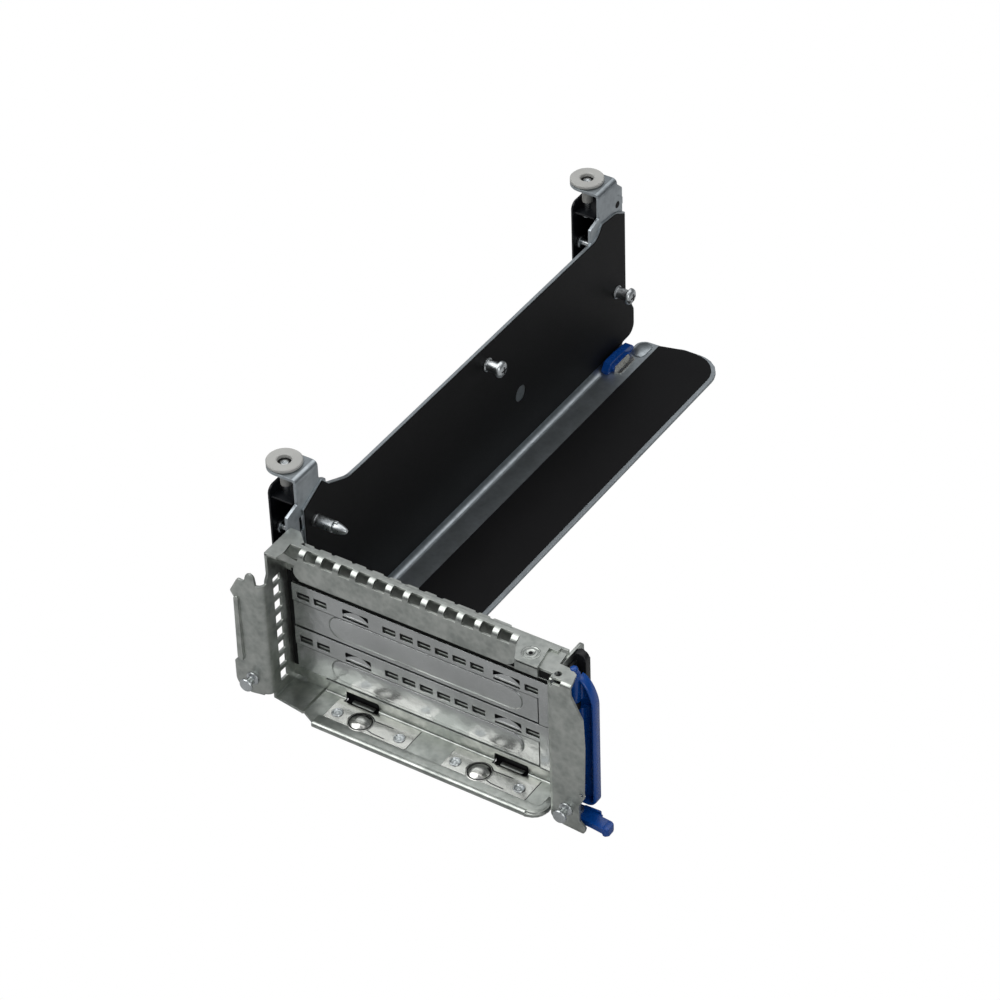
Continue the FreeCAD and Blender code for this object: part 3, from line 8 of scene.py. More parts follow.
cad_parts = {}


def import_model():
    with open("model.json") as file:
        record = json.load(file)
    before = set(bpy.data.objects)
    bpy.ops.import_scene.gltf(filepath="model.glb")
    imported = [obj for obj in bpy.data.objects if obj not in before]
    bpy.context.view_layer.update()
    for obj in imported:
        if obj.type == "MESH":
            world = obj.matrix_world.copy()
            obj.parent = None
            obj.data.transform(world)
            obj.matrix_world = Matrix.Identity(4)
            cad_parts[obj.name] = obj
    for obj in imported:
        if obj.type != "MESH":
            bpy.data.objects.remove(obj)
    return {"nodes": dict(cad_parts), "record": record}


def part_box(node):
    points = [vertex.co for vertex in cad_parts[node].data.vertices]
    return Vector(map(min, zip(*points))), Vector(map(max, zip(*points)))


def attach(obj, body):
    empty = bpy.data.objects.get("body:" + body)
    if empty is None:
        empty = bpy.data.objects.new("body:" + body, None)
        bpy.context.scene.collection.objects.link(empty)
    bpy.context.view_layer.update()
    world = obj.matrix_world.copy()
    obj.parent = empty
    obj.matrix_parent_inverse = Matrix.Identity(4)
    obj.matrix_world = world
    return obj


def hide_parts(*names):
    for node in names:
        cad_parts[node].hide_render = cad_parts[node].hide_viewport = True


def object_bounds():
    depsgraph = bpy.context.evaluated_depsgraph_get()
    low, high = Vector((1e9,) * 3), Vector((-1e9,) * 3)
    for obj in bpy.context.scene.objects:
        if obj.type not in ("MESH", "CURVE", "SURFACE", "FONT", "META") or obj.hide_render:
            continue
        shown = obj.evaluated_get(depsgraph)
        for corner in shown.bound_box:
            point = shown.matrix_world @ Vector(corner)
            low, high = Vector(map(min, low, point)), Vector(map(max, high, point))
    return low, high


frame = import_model()
cad_box = [list(corner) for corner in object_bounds()]
nodes = frame["nodes"]
MM = 0.001
bpy.context.scene.view_settings.view_transform = "Standard"

# Pieces are written in millimetres from the left wall's outer face, the wings' front and the floor. The
# faceplate's left end and the floor's rear end lie at known places, and give the way into the row's frame.
WING_END = -13.9
FLOOR_END = 256.0
SHIFT = Vector((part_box("faceplate")[0][0] / MM - WING_END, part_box("main_panel")[1][1] / MM - FLOOR_END, 0))


def row(x, y, z):
    return (Vector((x, y, z)) + SHIFT) * MM


# The photograph's camera, fitted to its vanishing points: metres, degrees, and the lens in millimetres
CAMERA_TARGET = row(29.747, 108.741, 30)
CAMERA_DISTANCE = 1.4115
CAMERA_AZIMUTH = 33.99
CAMERA_ELEVATION = 38.98
CAMERA_ROLL = 2.17
CAMERA_LENS = 137.7


def camera():
    azimuth = math.radians(CAMERA_AZIMUTH)
    elevation = math.radians(CAMERA_ELEVATION)
    roll = math.radians(CAMERA_ROLL)
    ahead = Vector((-math.sin(azimuth) * math.cos(elevation), math.cos(azimuth) * math.cos(elevation),
                    -math.sin(elevation)))
    flat_right = Vector((math.cos(azimuth), math.sin(azimuth), 0))
    flat_down = ahead.cross(flat_right)
    right = flat_right * math.cos(roll) + flat_down * math.sin(roll)
    down = flat_down * math.cos(roll) - flat_right * math.sin(roll)
    data = bpy.data.cameras.new("photo_camera")
    data.sensor_fit = "HORIZONTAL"
    data.sensor_width = 36.0
    data.lens = CAMERA_LENS
    data.clip_end = 20.0
    body = bpy.data.objects.new("photo_camera", data)
    turn = Matrix((right, -down, -ahead)).transposed()
    body.matrix_world = Matrix.Translation(CAMERA_TARGET - ahead * CAMERA_DISTANCE) @ turn.to_4x4()
    bpy.context.scene.collection.objects.link(body)
    bpy.context.scene.camera = body


camera()


# Materials

def new_material(name):
    material = bpy.data.materials.new(name)
    material.use_nodes = True
    tree = material.node_tree
    return material, tree, tree.nodes["Principled BSDF"]


def add(tree, kind, **inputs):
    """A node of the given kind with its input sockets set by name."""
    node = tree.nodes.new(kind)
    for key, value in inputs.items():
        node.inputs[key.replace("_", " ")].default_value = value
    return node


def coordinates(tree, stretch=(1, 1, 1)):
    place = tree.nodes.new("ShaderNodeTexCoord")
    scale = add(tree, "ShaderNodeMapping", Scale=stretch)
    tree.links.new(place.outputs["Object"], scale.inputs["Vector"])
    return scale.outputs["Vector"]


def noise(tree, vector, scale, detail=4.0, roughness=0.5):
    node = add(tree, "ShaderNodeTexNoise", Scale=scale, Detail=detail, Roughness=roughness)
    tree.links.new(vector, node.inputs["Vector"])
    return node.outputs["Fac"]


def ramp(tree, factor, stops):
    node = tree.nodes.new("ShaderNodeValToRGB")
    elements = node.color_ramp.elements
    while len(elements) < len(stops):
        elements.new(0.5)
    for element, (position, colour) in zip(elements, stops):
        element.position = position
        element.color = (*colour, 1)
    tree.links.new(factor, node.inputs["Fac"])
    return node.outputs["Color"]


def spread(tree, factor, low, high):
    node = add(tree, "ShaderNodeMapRange", To_Min=low, To_Max=high)
    node.inputs["From Min"].default_value = 0.3
    node.inputs["From Max"].default_value = 0.7
    tree.links.new(factor, node.inputs["Value"])
    return node.outputs["Result"]


def bump(tree, shader, height, strength, distance, edge=0.00022):
    """Fine relief, over edges that shade as if slightly rounded."""
    soft = add(tree, "ShaderNodeBevel", Radius=edge)
    soft.samples = 4
    node = add(tree, "ShaderNodeBump", Strength=strength, Distance=distance)
    tree.links.new(height, node.inputs["Height"])
    tree.links.new(soft.outputs["Normal"], node.inputs["Normal"])
    tree.links.new(node.outputs["Normal"], shader.inputs["Normal"])


def zinc_sheet(name, pale, dark, rough_low, rough_high):
    """Zinc-plated sheet: cloudy spangle, fine grain and uneven gloss."""
    material, tree, shader = new_material(name)
    place = coordinates(tree)
    cloud = noise(tree, place, 150, 6, 0.65)
    flakes = add(tree, "ShaderNodeTexVoronoi", Scale=420.0)
    tree.links.new(place, flakes.inputs["Vector"])
    blend = add(tree, "ShaderNodeMix")
    blend.data_type = "FLOAT"
    blend.inputs[0].default_value = 0.18
    tree.links.new(cloud, blend.inputs[2])
    tree.links.new(flakes.outputs["Distance"], blend.inputs[3])
    both = blend.outputs[0]
    middle = tuple((a + b) / 2 for a, b in zip(pale, dark))
    shades = [(0.36, dark), (0.48, middle), (0.62, pale)]
    tree.links.new(ramp(tree, both, shades), shader.inputs["Base Color"])
    tree.links.new(spread(tree, cloud, rough_high, rough_low), shader.inputs["Roughness"])
    shader.inputs["Metallic"].default_value = 1.0
    bump(tree, shader, cloud, 0.1, 0.0002)
    return material


def bright_metal(name, colour, rough_low, rough_high, stretch, dent=0.04):
    """Polished or brushed bright metal with faint drawn streaks and a slightly uneven face."""
    material, tree, shader = new_material(name)
    streak = noise(tree, coordinates(tree, stretch), 900, 4, 0.6)
    smear = noise(tree, coordinates(tree), 60, 4, 0.6)
    shades = [(0.3, tuple(c * 0.8 for c in colour)), (0.7, colour)]
    tree.links.new(ramp(tree, smear, shades), shader.inputs["Base Color"])
    tree.links.new(spread(tree, streak, rough_low, rough_high), shader.inputs["Roughness"])
    shader.inputs["Metallic"].default_value = 1.0
    bump(tree, shader, smear, dent, 0.004)
    return material


def plastic(name, colour, roughness, grain, strength, coat=0.0, gloss=0.5, edge=0.00022):
    """Moulded plastic or coated surface with a fine texture."""
    material, tree, shader = new_material(name)
    fine = noise(tree, coordinates(tree), grain, 3, 0.6)
    cloud = noise(tree, coordinates(tree), 60, 3, 0.5)
    shades = [(0.3, tuple(c * 0.85 for c in colour)), (0.7, colour)]
    tree.links.new(ramp(tree, cloud, shades), shader.inputs["Base Color"])
    tree.links.new(spread(tree, fine, roughness - 0.05, roughness + 0.05), shader.inputs["Roughness"])
    shader.inputs["Specular IOR Level"].default_value = gloss
    shader.inputs["Coat Weight"].default_value = coat
    shader.inputs["Coat Roughness"].default_value = 0.1
    bump(tree, shader, fine, strength, 0.0001, edge)
    return material


LOOKS = {
    "zinc_sheet": zinc_sheet("zinc_sheet", (0.49, 0.51, 0.48), (0.33, 0.35, 0.33), 0.28, 0.44),
    "panel_sheet": zinc_sheet("panel_sheet", (0.42, 0.46, 0.48), (0.32, 0.35, 0.37), 0.3, 0.42),
    "bright_cover": bright_metal("bright_cover", (0.55, 0.565, 0.56), 0.17, 0.3, (1, 12, 30), 0.12),
    "bright_spring": bright_metal("bright_spring", (0.6, 0.6, 0.57), 0.14, 0.28, (1, 12, 12), 0.08),
    "plated_steel": bright_metal("plated_steel", (0.62, 0.65, 0.66), 0.24, 0.38, (1, 1, 1)),
    "black_film": plastic("black_film", (0.006, 0.006, 0.0065), 0.5, 2500, 0.04, gloss=0.12),
    "black_guard": plastic("black_guard", (0.006, 0.007, 0.009), 0.35, 1800, 0.05, gloss=0.25),
    "black_plastic": plastic("black_plastic", (0.008, 0.008, 0.009), 0.42, 1500, 0.05, gloss=0.3),
    "pad_plastic": plastic("pad_plastic", (0.42, 0.42, 0.40), 0.5, 1800, 0.05),
    "blue_plastic": plastic("blue_plastic", (0.002, 0.06, 0.30), 0.26, 300, 0.004, 0.12, 0.4, 0.00005),
}


def dress_cad():
    """Gives each CAD node the look of the record's material slot."""
    for entry in frame["record"]["subparts"]:
        node = nodes[entry["node"]]
        node.data.materials.clear()
        node.data.materials.append(LOOKS[entry["material_slot"]])


dress_cad()


# Mesh helpers, all in millimetres

def finish_piece(name, bm, slot, body, stands_for=(), sharp=35):
    """Turns the built mesh into a piece that rides on its body."""
    bmesh.ops.recalc_face_normals(bm, faces=bm.faces)
    mesh = bpy.data.meshes.new(name)
    bm.to_mesh(mesh)
    bm.free()
    mesh.shade_smooth()
    mesh.set_sharp_from_angle(angle=math.radians(sharp))
    mesh.materials.append(LOOKS[slot])
    thing = bpy.data.objects.new(name, mesh)
    bpy.context.scene.collection.objects.link(thing)
    if stands_for:
        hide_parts(*stands_for)
    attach(thing, body)


def lathe(bm, profile, origin, axis, steps=40):
    """Turned body: the profile is (radius, distance along the axis), from one end to the other."""
    axis = Vector(axis).normalized()
    side = axis.orthogonal().normalized()
    other = axis.cross(side)
    rings = []
    for radius, height in profile:
        middle = Vector(origin) + axis * height
        if radius < 1e-6:
            rings.append([bm.verts.new(row(*middle))])
            continue
        ring = []
        for i in range(steps):
            turn = 2 * math.pi * i / steps
            arm = (side * math.cos(turn) + other * math.sin(turn)) * radius
            ring.append(bm.verts.new(row(*(middle + arm))))
        rings.append(ring)
    for lower, upper in zip(rings, rings[1:]):
        for i in range(steps):
            k = (i + 1) % steps
            if len(lower) == 1:
                bm.faces.new((lower[0], upper[i], upper[k]))
            elif len(upper) == 1:
                bm.faces.new((lower[i], lower[k], upper[0]))
            else:
                bm.faces.new((lower[i], lower[k], upper[k], upper[i]))


def rounded(corners, steps=6):
    """Points of an outline whose corners are (u, v) or (u, v, radius)."""
    points = []
    for i, corner in enumerate(corners):
        here = Vector(corner[:2])
        radius = corner[2] if len(corner) > 2 else 0
        if not radius:
            points.append(here)
            continue
        back = (Vector(corners[i - 1][:2]) - here).normalized()
        ahead = (Vector(corners[(i + 1) % len(corners)][:2]) - here).normalized()
        half = back.angle(ahead) / 2
        centre = here + (back + ahead).normalized() * (radius / math.sin(half))
        first = here + back * (radius / math.tan(half)) - centre
        last = here + ahead * (radius / math.tan(half)) - centre
        for k in range(steps + 1):
            share = k / steps
            arm = (first * (1 - share) + last * share).normalized() * radius
            points.append(centre + arm)
    return points


ACROSS = {"x": lambda u, v, w: (w, u, v), "y": lambda u, v, w: (u, w, v), "z": lambda u, v, w: (u, v, w)}


def prism(bm, corners, across, low, high, soft=0.0, steps=6, segments=2):
    """Plate between two planes across an axis, its edges softened."""
    place = ACROSS[across]
    points = rounded(corners, steps)
    lows = [bm.verts.new(row(*place(p.x, p.y, low))) for p in points]
    highs = [bm.verts.new(row(*place(p.x, p.y, high))) for p in points]
    made = [bm.faces.new(lows), bm.faces.new(highs)]
    count = len(points)
    for i in range(count):
        k = (i + 1) % count
        made.append(bm.faces.new((lows[i], lows[k], highs[k], highs[i])))
    if soft:
        rims = [e for f in made[:2] for e in f.edges]
        bmesh.ops.bevel(bm, geom=rims, offset=soft * MM, segments=segments, profile=0.5, affect="EDGES",
                        clamp_overlap=True)


def box(bm, x0, x1, y0, y1, z0, z1, soft=0.0):
    prism(bm, [(x0, y0), (x1, y0), (x1, y1), (x0, y1)], "z", z0, z1, soft)


def rectangle(u0, u1, v0, v1, radius=0):
    return [(u0, v0, radius), (u1, v0, radius), (u1, v1, radius), (u0, v1, radius)]


def circle(u, v, radius, steps=28):
    turns = [2 * math.pi * i / steps for i in range(steps)]
    return [(u + radius * math.cos(turn), v + radius * math.sin(turn)) for turn in turns]


def plate(bm, corners, across, low, high, holes=()):
    """Sheet between two planes across an axis, with holes strictly inside its outline."""
    place = ACROSS[across]
    loops = [rounded(corners)] + [rounded(hole) for hole in holes]
    levels = []
    for level in (low, high):
        rings = [[bm.verts.new(row(*place(p.x, p.y, level))) for p in loop] for loop in loops]
        edges = [bm.edges.new((ring[i - 1], ring[i])) for ring in rings for i in range(len(ring))]
        bmesh.ops.triangle_fill(bm, edges=edges, use_beauty=True)
        levels.append(rings)
    for lower, upper in zip(*levels):
        for i in range(len(lower)):
            bm.faces.new((lower[i - 1], lower[i], upper[i], upper[i - 1]))


def bend(bm, across, centre_u, centre_v, outer, inner, start, low, high, steps=8):
    """Quarter of a folded sheet: an arc of the section swept along the axis."""
    section = []
    for radius, order in ((outer, range(steps + 1)), (inner, range(steps, -1, -1))):
        for i in order:
            turn = math.radians(start + 90 * i / steps)
            section.append((centre_u + radius * math.cos(turn), centre_v + radius * math.sin(turn)))
    prism(bm, section, across, low, high)


def ribbon(bm, points, width, z):
    """Flat line of the given width along points on a level face."""
    sides = []
    for i, p in enumerate(points):
        ahead = Vector(points[min(i + 1, len(points) - 1)]) - Vector(points[max(i - 1, 0)])
        across = Vector((-ahead.y, ahead.x)).normalized() * (width / 2)
        sides.append([bm.verts.new(row(p[0] + s * across.x, p[1] + s * across.y, z)) for s in (-1, 1)])
    for a, b in zip(sides, sides[1:]):
        bm.faces.new((a[0], b[0], b[1], a[1]))


# Folded sheets

SHEET = 1.0
BODY_WIDTH = 119.0
BODY_HEIGHT = 67.0
BULKHEAD_Y = 10.0
BULKHEAD_LEFT = 7.3
BULKHEAD_RIGHT = 100.5
BULKHEAD_LOW = 54.4
TOP_BEND = 3.0
WING_BEND = 3.0
WINDOW_COUNT = 13
WINDOW_PITCH = 7.31
WINDOW_WIDTH = 4.9
FIRST_WINDOW_X = 5.2
STRIP_REAR = 14.8
REAR_TAB = 1.2
WIDE_TABS = (2, 9, 11)
CORNER_FRONT = 4.4
CORNER_REAR = 20.5
PLATEAU_FRONT = 2.0
PLATEAU_LEFT = 105.0
PLATEAU_RIGHT = 114.2
PLATEAU_SKIRT = 62.4
WALL_LOW = 0.2
WALL_TOP = 66.5
VENT_FRONT = 6.7
VENT_REAR = 10.9
VENT_COUNT = 7
VENT_PITCH = 6.5
VENT_HEIGHT = 4.6
FIRST_VENT_Z = 5.7
LOW_CORNER_RIGHT = 13.4
LOW_CORNER_REAR = 21.2
FLANGE_LEFT = 15.0
FLANGE_RIGHT = 116.3
FLANGE_FRONT = -2.2
FLANGE_LOW = 1.0
LIP_Y = 15.4
LIP_TOP = 7.0
LIP_BEND = 1.6
LIP_WINDOWS = ((24.0, 38.0), (87.0, 101.0))
LIP_WINDOW_TOP = 5.4
LIP_WINDOW_FRONT = 11.6
HEM_LEFT = 20.5
HEM_INNER = 113.4
HEM_REAR = 8.0
HEM_DEPTH = 2.0
HEM_RADIUS = 1.25
RAISED_LEFT = 109.3
RAISED_RIGHT = 116.5
RAISED_FRONT = -3.25


def window_left(i):
    return FIRST_WINDOW_X + i * WINDOW_PITCH


def top_flange(bm):
    """Corner plate, narrow strip with rear tabs and the plateau, all in one plane."""
    front = BULKHEAD_Y + TOP_BEND
    low = BODY_HEIGHT - SHEET
    end = PLATEAU_RIGHT + 1.7
    outline = [(0, CORNER_FRONT), (FIRST_WINDOW_X, CORNER_FRONT), (FIRST_WINDOW_X + 0.7, CORNER_FRONT + 3.2),
               (FIRST_WINDOW_X, front), (BULKHEAD_RIGHT, front), (BULKHEAD_RIGHT + 1.2, front - 4.5, 3),
               (PLATEAU_LEFT, PLATEAU_FRONT, 1), (PLATEAU_RIGHT, PLATEAU_FRONT),
               (PLATEAU_RIGHT - 1.8, front - 0.5), (end, front - 0.5), (end, STRIP_REAR),
               (CORNER_FRONT + 6, STRIP_REAR), (CORNER_FRONT, CORNER_REAR, 2), (0, CORNER_REAR)]
    plate(bm, outline, "z", low, BODY_HEIGHT)
    for i in range(WINDOW_COUNT - 1):
        middle = window_left(i + 1) - (WINDOW_PITCH - WINDOW_WIDTH) / 2
        half = 3.4 if i in WIDE_TABS else 2.1
        root = STRIP_REAR - 0.2
        tip = STRIP_REAR + REAR_TAB
        prism(bm, [(middle - half - 1, root), (middle + half + 1, root), (middle + half, tip, 0.4),
                   (middle - half, tip, 0.4)], "z", low, BODY_HEIGHT)


def bulkhead(bm):
    """Vertical band, the ribs that bend over between the windows, and the slanting web at its left end."""
    fold = BODY_HEIGHT - TOP_BEND
    left = window_left(0) + WINDOW_WIDTH
    back = BULKHEAD_Y + SHEET
    plate(bm, [(BULKHEAD_LEFT, BULKHEAD_LOW, 3.5), (BULKHEAD_RIGHT, BULKHEAD_LOW, 5), (BULKHEAD_RIGHT, fold),
               (left, fold), (BULKHEAD_LEFT + 1, fold - 2.5)], "y", BULKHEAD_Y, back)
    for i in range(WINDOW_COUNT):
        low = window_left(i) + WINDOW_WIDTH
        high = window_left(i + 1) if i < WINDOW_COUNT - 1 else BULKHEAD_RIGHT
        bend(bm, "x", BULKHEAD_Y + TOP_BEND, fold, TOP_BEND, TOP_BEND - SHEET, 90, low, high)
    low = BODY_HEIGHT - SHEET
    upper = [(5.1, 4.4, BODY_HEIGHT), (5.8, 7.6, BODY_HEIGHT), (5.8, 7.6, low), (5.1, 4.4, low)]
    lower = [(8.3, BULKHEAD_Y, 60.5), (9.9, BULKHEAD_Y, 63.2), (9.9, back, 63.2), (8.3, back, 60.5)]
    rings = [[bm.verts.new(row(*p)) for p in ring] for ring in (upper, lower)]
    for i in range(4):
        bm.faces.new((rings[0][i - 1], rings[0][i], rings[1][i], rings[1][i - 1]))
    for ring in rings:
        bm.faces.new(ring)


def left_side(bm):
    """Left wall with its column of vents, and the wing with its ear and raised strip."""
    vents = []
    for i in range(VENT_COUNT):
        low = FIRST_VENT_Z + i * VENT_PITCH
        vents.append(rectangle(VENT_FRONT, VENT_REAR, low, low + VENT_HEIGHT, 0.3))
    vents.append(rectangle(VENT_FRONT, VENT_REAR, 51.0, 53.8, 0.3))
    plate(bm, [(WING_BEND, WALL_LOW), (WING_BEND, 54.8, 2), (CORNER_FRONT, 57.3, 2), (CORNER_FRONT, WALL_TOP),
               (CORNER_REAR, WALL_TOP), (CORNER_REAR, WALL_LOW)], "x", 0, SHEET, vents)
    bend(bm, "z", SHEET - WING_BEND, WING_BEND, WING_BEND, WING_BEND - SHEET, -90, 3.4, 53.8)
    prism(bm, [(-2, 2.6), (-2, 54.4, 0.5), (-2.6, 58.2, 1.2), (-5.6, 58.0, 1.2), (-6.8, 53.8, 0.8),
               (-9.7, 54.2, 1), (-13.3, 47.5, 0.8), (-11.7, 44.8, 1), (-12.3, 16.4, 0.6),
               (WING_END, 14.4, 0.6), (WING_END, 3.4, 4), (-7.7, 1.6, 3)], "y", 0, SHEET, 0.15)
    raised = [(-12.0, 17.0, 0.5), (-9.7, 15.8, 0.5), (-9.7, 46.4, 0.8), (-11.5, 45.4, 0.5)]
    prism(bm, raised, "y", -0.7, 0.1, 0.3)
    bend(bm, "y", -4.2, 57.0, 1.5, 0.8, 0, -0.2, 0.9)


def lip_and_floor(bm):
    """Floor of the flange, notched at the windows, and the rear lip that bends up from it."""
    fold_y = LIP_Y - LIP_BEND
    fold_z = FLANGE_LOW + LIP_BEND
    notches = []
    lip = [(FLANGE_RIGHT, LIP_TOP), (FLANGE_LEFT, LIP_TOP), (FLANGE_LEFT, fold_z)]
    for low, high in LIP_WINDOWS:
        notches = [(high, fold_y), (high, LIP_WINDOW_FRONT), (low, LIP_WINDOW_FRONT), (low, fold_y)] + notches
        lip += [(low, fold_z), (low, LIP_WINDOW_TOP, 0.6), (high, LIP_WINDOW_TOP, 0.6), (high, fold_z)]
    front = [(FLANGE_LEFT, 0.6), (HEM_LEFT, FLANGE_FRONT, 2), (FLANGE_RIGHT, FLANGE_FRONT, 5)]
    plate(bm, front + [(FLANGE_RIGHT, fold_y)] + notches + [(FLANGE_LEFT, fold_y)], "z", FLANGE_LOW,
          FLANGE_LOW + SHEET)
    plate(bm, lip + [(FLANGE_RIGHT, fold_z)], "y", LIP_Y - SHEET, LIP_Y)
    ends = [FLANGE_LEFT, *LIP_WINDOWS[0], *LIP_WINDOWS[1], FLANGE_RIGHT]
    for low, high in zip(ends[::2], ends[1::2]):
        bend(bm, "x", fold_y, fold_z, LIP_BEND, LIP_BEND - SHEET, 270, low, high)


def bottom_flange(bm):
    """Low left corner, the step up to the floor, and the hem with its rolled edge and raised end."""
    prism(bm, [(0.5, WING_BEND), (LOW_CORNER_RIGHT, 1.2), (LOW_CORNER_RIGHT, LOW_CORNER_REAR),
               (0.5, LOW_CORNER_REAR)], "z", 0.2, 1.15)
    prism(bm, [(LOW_CORNER_RIGHT, 0.2), (FLANGE_LEFT, FLANGE_LOW), (FLANGE_LEFT, FLANGE_LOW + SHEET),
               (LOW_CORNER_RIGHT, 1.2)], "y", 1.0, LIP_Y)
    lip_and_floor(bm)
    prism(bm, [(HEM_LEFT, FLANGE_FRONT, 0.6), (FLANGE_RIGHT, FLANGE_FRONT, 5), (FLANGE_RIGHT, HEM_REAR),
               (HEM_INNER, HEM_REAR), (HEM_INNER, HEM_DEPTH, 1), (HEM_LEFT, HEM_DEPTH, 0.6)], "z",
          FLANGE_LOW, 2.4, 0.25)
    rolled_end = RAISED_LEFT + 1
    lathe(bm, [(0, HEM_LEFT), (1.1, HEM_LEFT), (HEM_RADIUS, HEM_LEFT + 0.2), (HEM_RADIUS, rolled_end),
               (0, rolled_end)], (0, -2.1, HEM_RADIUS), (1, 0, 0), 20)
    prism(bm, [(RAISED_LEFT, RAISED_FRONT), (RAISED_RIGHT, RAISED_FRONT, 6), (RAISED_RIGHT, HEM_REAR),
               (HEM_INNER, HEM_REAR), (HEM_INNER, HEM_DEPTH), (RAISED_LEFT, HEM_DEPTH)], "z", 0.5, 1.9, 0.4)


def faceplate():
    bm = bmesh.new()
    top_flange(bm)
    bulkhead(bm)
    left_side(bm)
    bottom_flange(bm)
    box(bm, PLATEAU_LEFT, PLATEAU_RIGHT, PLATEAU_FRONT, PLATEAU_FRONT + SHEET, PLATEAU_SKIRT, WALL_TOP)
    finish_piece("faceplate_sheet", bm, "zinc_sheet", "frame", ["faceplate"])


BRACKET_REACH = BODY_WIDTH + 14.3
BRACKET_LOW = 2.6
BRACKET_FOLD = 64.4
BRACKET_BEND = 1.6
TAB_LEFT = 105.5
TAB_RIGHT = 128.2
TAB_TOP = 66.0


def right_bracket():
    """Right wing, its top tab under the plateau, side wall and small bottom tab."""
    bm = bmesh.new()
    inner = BODY_WIDTH - SHEET
    bend_x = inner + WING_BEND
    reach = BRACKET_REACH
    fold = BRACKET_FOLD
    plate(bm, [(bend_x, BRACKET_LOW), (bend_x + 3.1, 1.0, 2), (reach - 0.6, 0.3, 1.2), (reach, 3, 0.6),
               (reach - 2.4, 5.4, 0.6), (reach - 2.4, 12.6, 1), (reach - 0.6, 16.4, 1), (reach, 39.8, 3),
               (reach - 0.5, 52.6, 3), (TAB_RIGHT, 61.8, 0.5), (TAB_RIGHT, fold), (bend_x, fold)],
          "y", 0, SHEET, [circle(reach - 1.6, 18.2, 0.8, 16)])
    wall_top = fold - BRACKET_BEND
    bend(bm, "z", bend_x, WING_BEND, WING_BEND, WING_BEND - SHEET, 180, BRACKET_LOW, wall_top)
    prism(bm, [(WING_BEND, BRACKET_LOW), (WING_BEND, wall_top), (WING_BEND + 3, fold), (24, fold, 2),
               (24, 4.6, 2), (WING_BEND + 3, BRACKET_LOW)], "x", inner, BODY_WIDTH)
    bend(bm, "x", BRACKET_BEND, fold, BRACKET_BEND, BRACKET_BEND - SHEET, 90, bend_x + 3.2, TAB_RIGHT)
    plate(bm, [(TAB_LEFT, 3.3, 1), (119.6, 3.3), (119.6, BRACKET_BEND), (TAB_RIGHT, BRACKET_BEND),
               (126.9, 6.6, 0.6), (124.3, 8.2), (119.1, 8.6), (118.5, 14), (TAB_LEFT, 14)],
          "z", TAB_TOP - SHEET, TAB_TOP, [circle(121.3, 3.9, 1.3)])
    prism(bm, [(bend_x + 0.4, 0.5), (131.2, 0.5), (131.2, 10.6, 2), (bend_x + 0.4, 10.6, 2)], "z", 0.6, 1.6)
    finish_piece("right_bracket_sheet", bm, "zinc_sheet", "frame", ["right_bracket"])


# Slot covers

COVER_LOWS = (7.4, 27.72)
COVER_FOLD = 11.52
COVER_TOP = 19.82
COVER_LEFT = 3.0
COVER_POST = 105.6
COVER_RIGHT = 116.0
COVER_SHEET = 0.4
STRIP_Y = 14.5
FIELD_Y = 15.0
COVER_BACK = FIELD_Y + COVER_SHEET
VENT_LEFTS = (5.0, 12.33, 41.6, 48.93, 56.26, 63.59, 70.92, 78.25, 100.5)
VENT_LENGTH = 5.5
WAVES = (30.1, 93.1)
WAVE_HALF = 5.5
CAPSULE_HALF = 4.9
CAPSULE_ENDS = (22.9, 94.4)
CAPSULE_STEPS = ((0, FIELD_Y), (0.25, 14.55), (0.7, 14.35), (1.2, 14.3))


def stadium(middle, inset, steps=12):
    """Outline with round ends, (x, z), of the capsule emboss."""
    half = CAPSULE_HALF - inset
    points = []
    for centre, start in ((CAPSULE_ENDS[1], -90), (CAPSULE_ENDS[0], 90)):
        for i in range(steps + 1):
            turn = math.radians(start + 180 * i / steps)
            points.append((centre + half * math.cos(turn), middle + half * math.sin(turn)))
    return points


def capsule(bm, middle):
    rings = []
    for inset, y in CAPSULE_STEPS:
        rings.append([bm.verts.new(row(x, y, z)) for x, z in stadium(middle, inset)])
    for outer, inner in zip(rings, rings[1:]):
        for i in range(len(outer)):
            bm.faces.new((outer[i - 1], outer[i], inner[i], inner[i - 1]))
    bm.faces.new(rings[-1])


def scoop(bm, x, root, steps=14):
    """Springy bar between two slits: its upper edge arches up and back from the sheet."""
    rings = []
    for i in range(steps + 1):
        share = i / steps
        arch = math.sin(math.pi * share)
        left = x - WAVE_HALF + 2 * WAVE_HALF * share
        top = root + 0.2 + 1.7 * arch
        section = ((STRIP_Y, root - 0.5), (STRIP_Y + 0.02 + 0.55 * arch, top),
                   (STRIP_Y + 0.25 + 0.55 * arch, top), (STRIP_Y + 0.3, root - 0.5))
        rings.append([bm.verts.new(row(left, y, z)) for y, z in section])
    for a, b in zip(rings, rings[1:]):
        for i in range(4):
            bm.faces.new((a[i - 1], a[i], b[i], b[i - 1]))


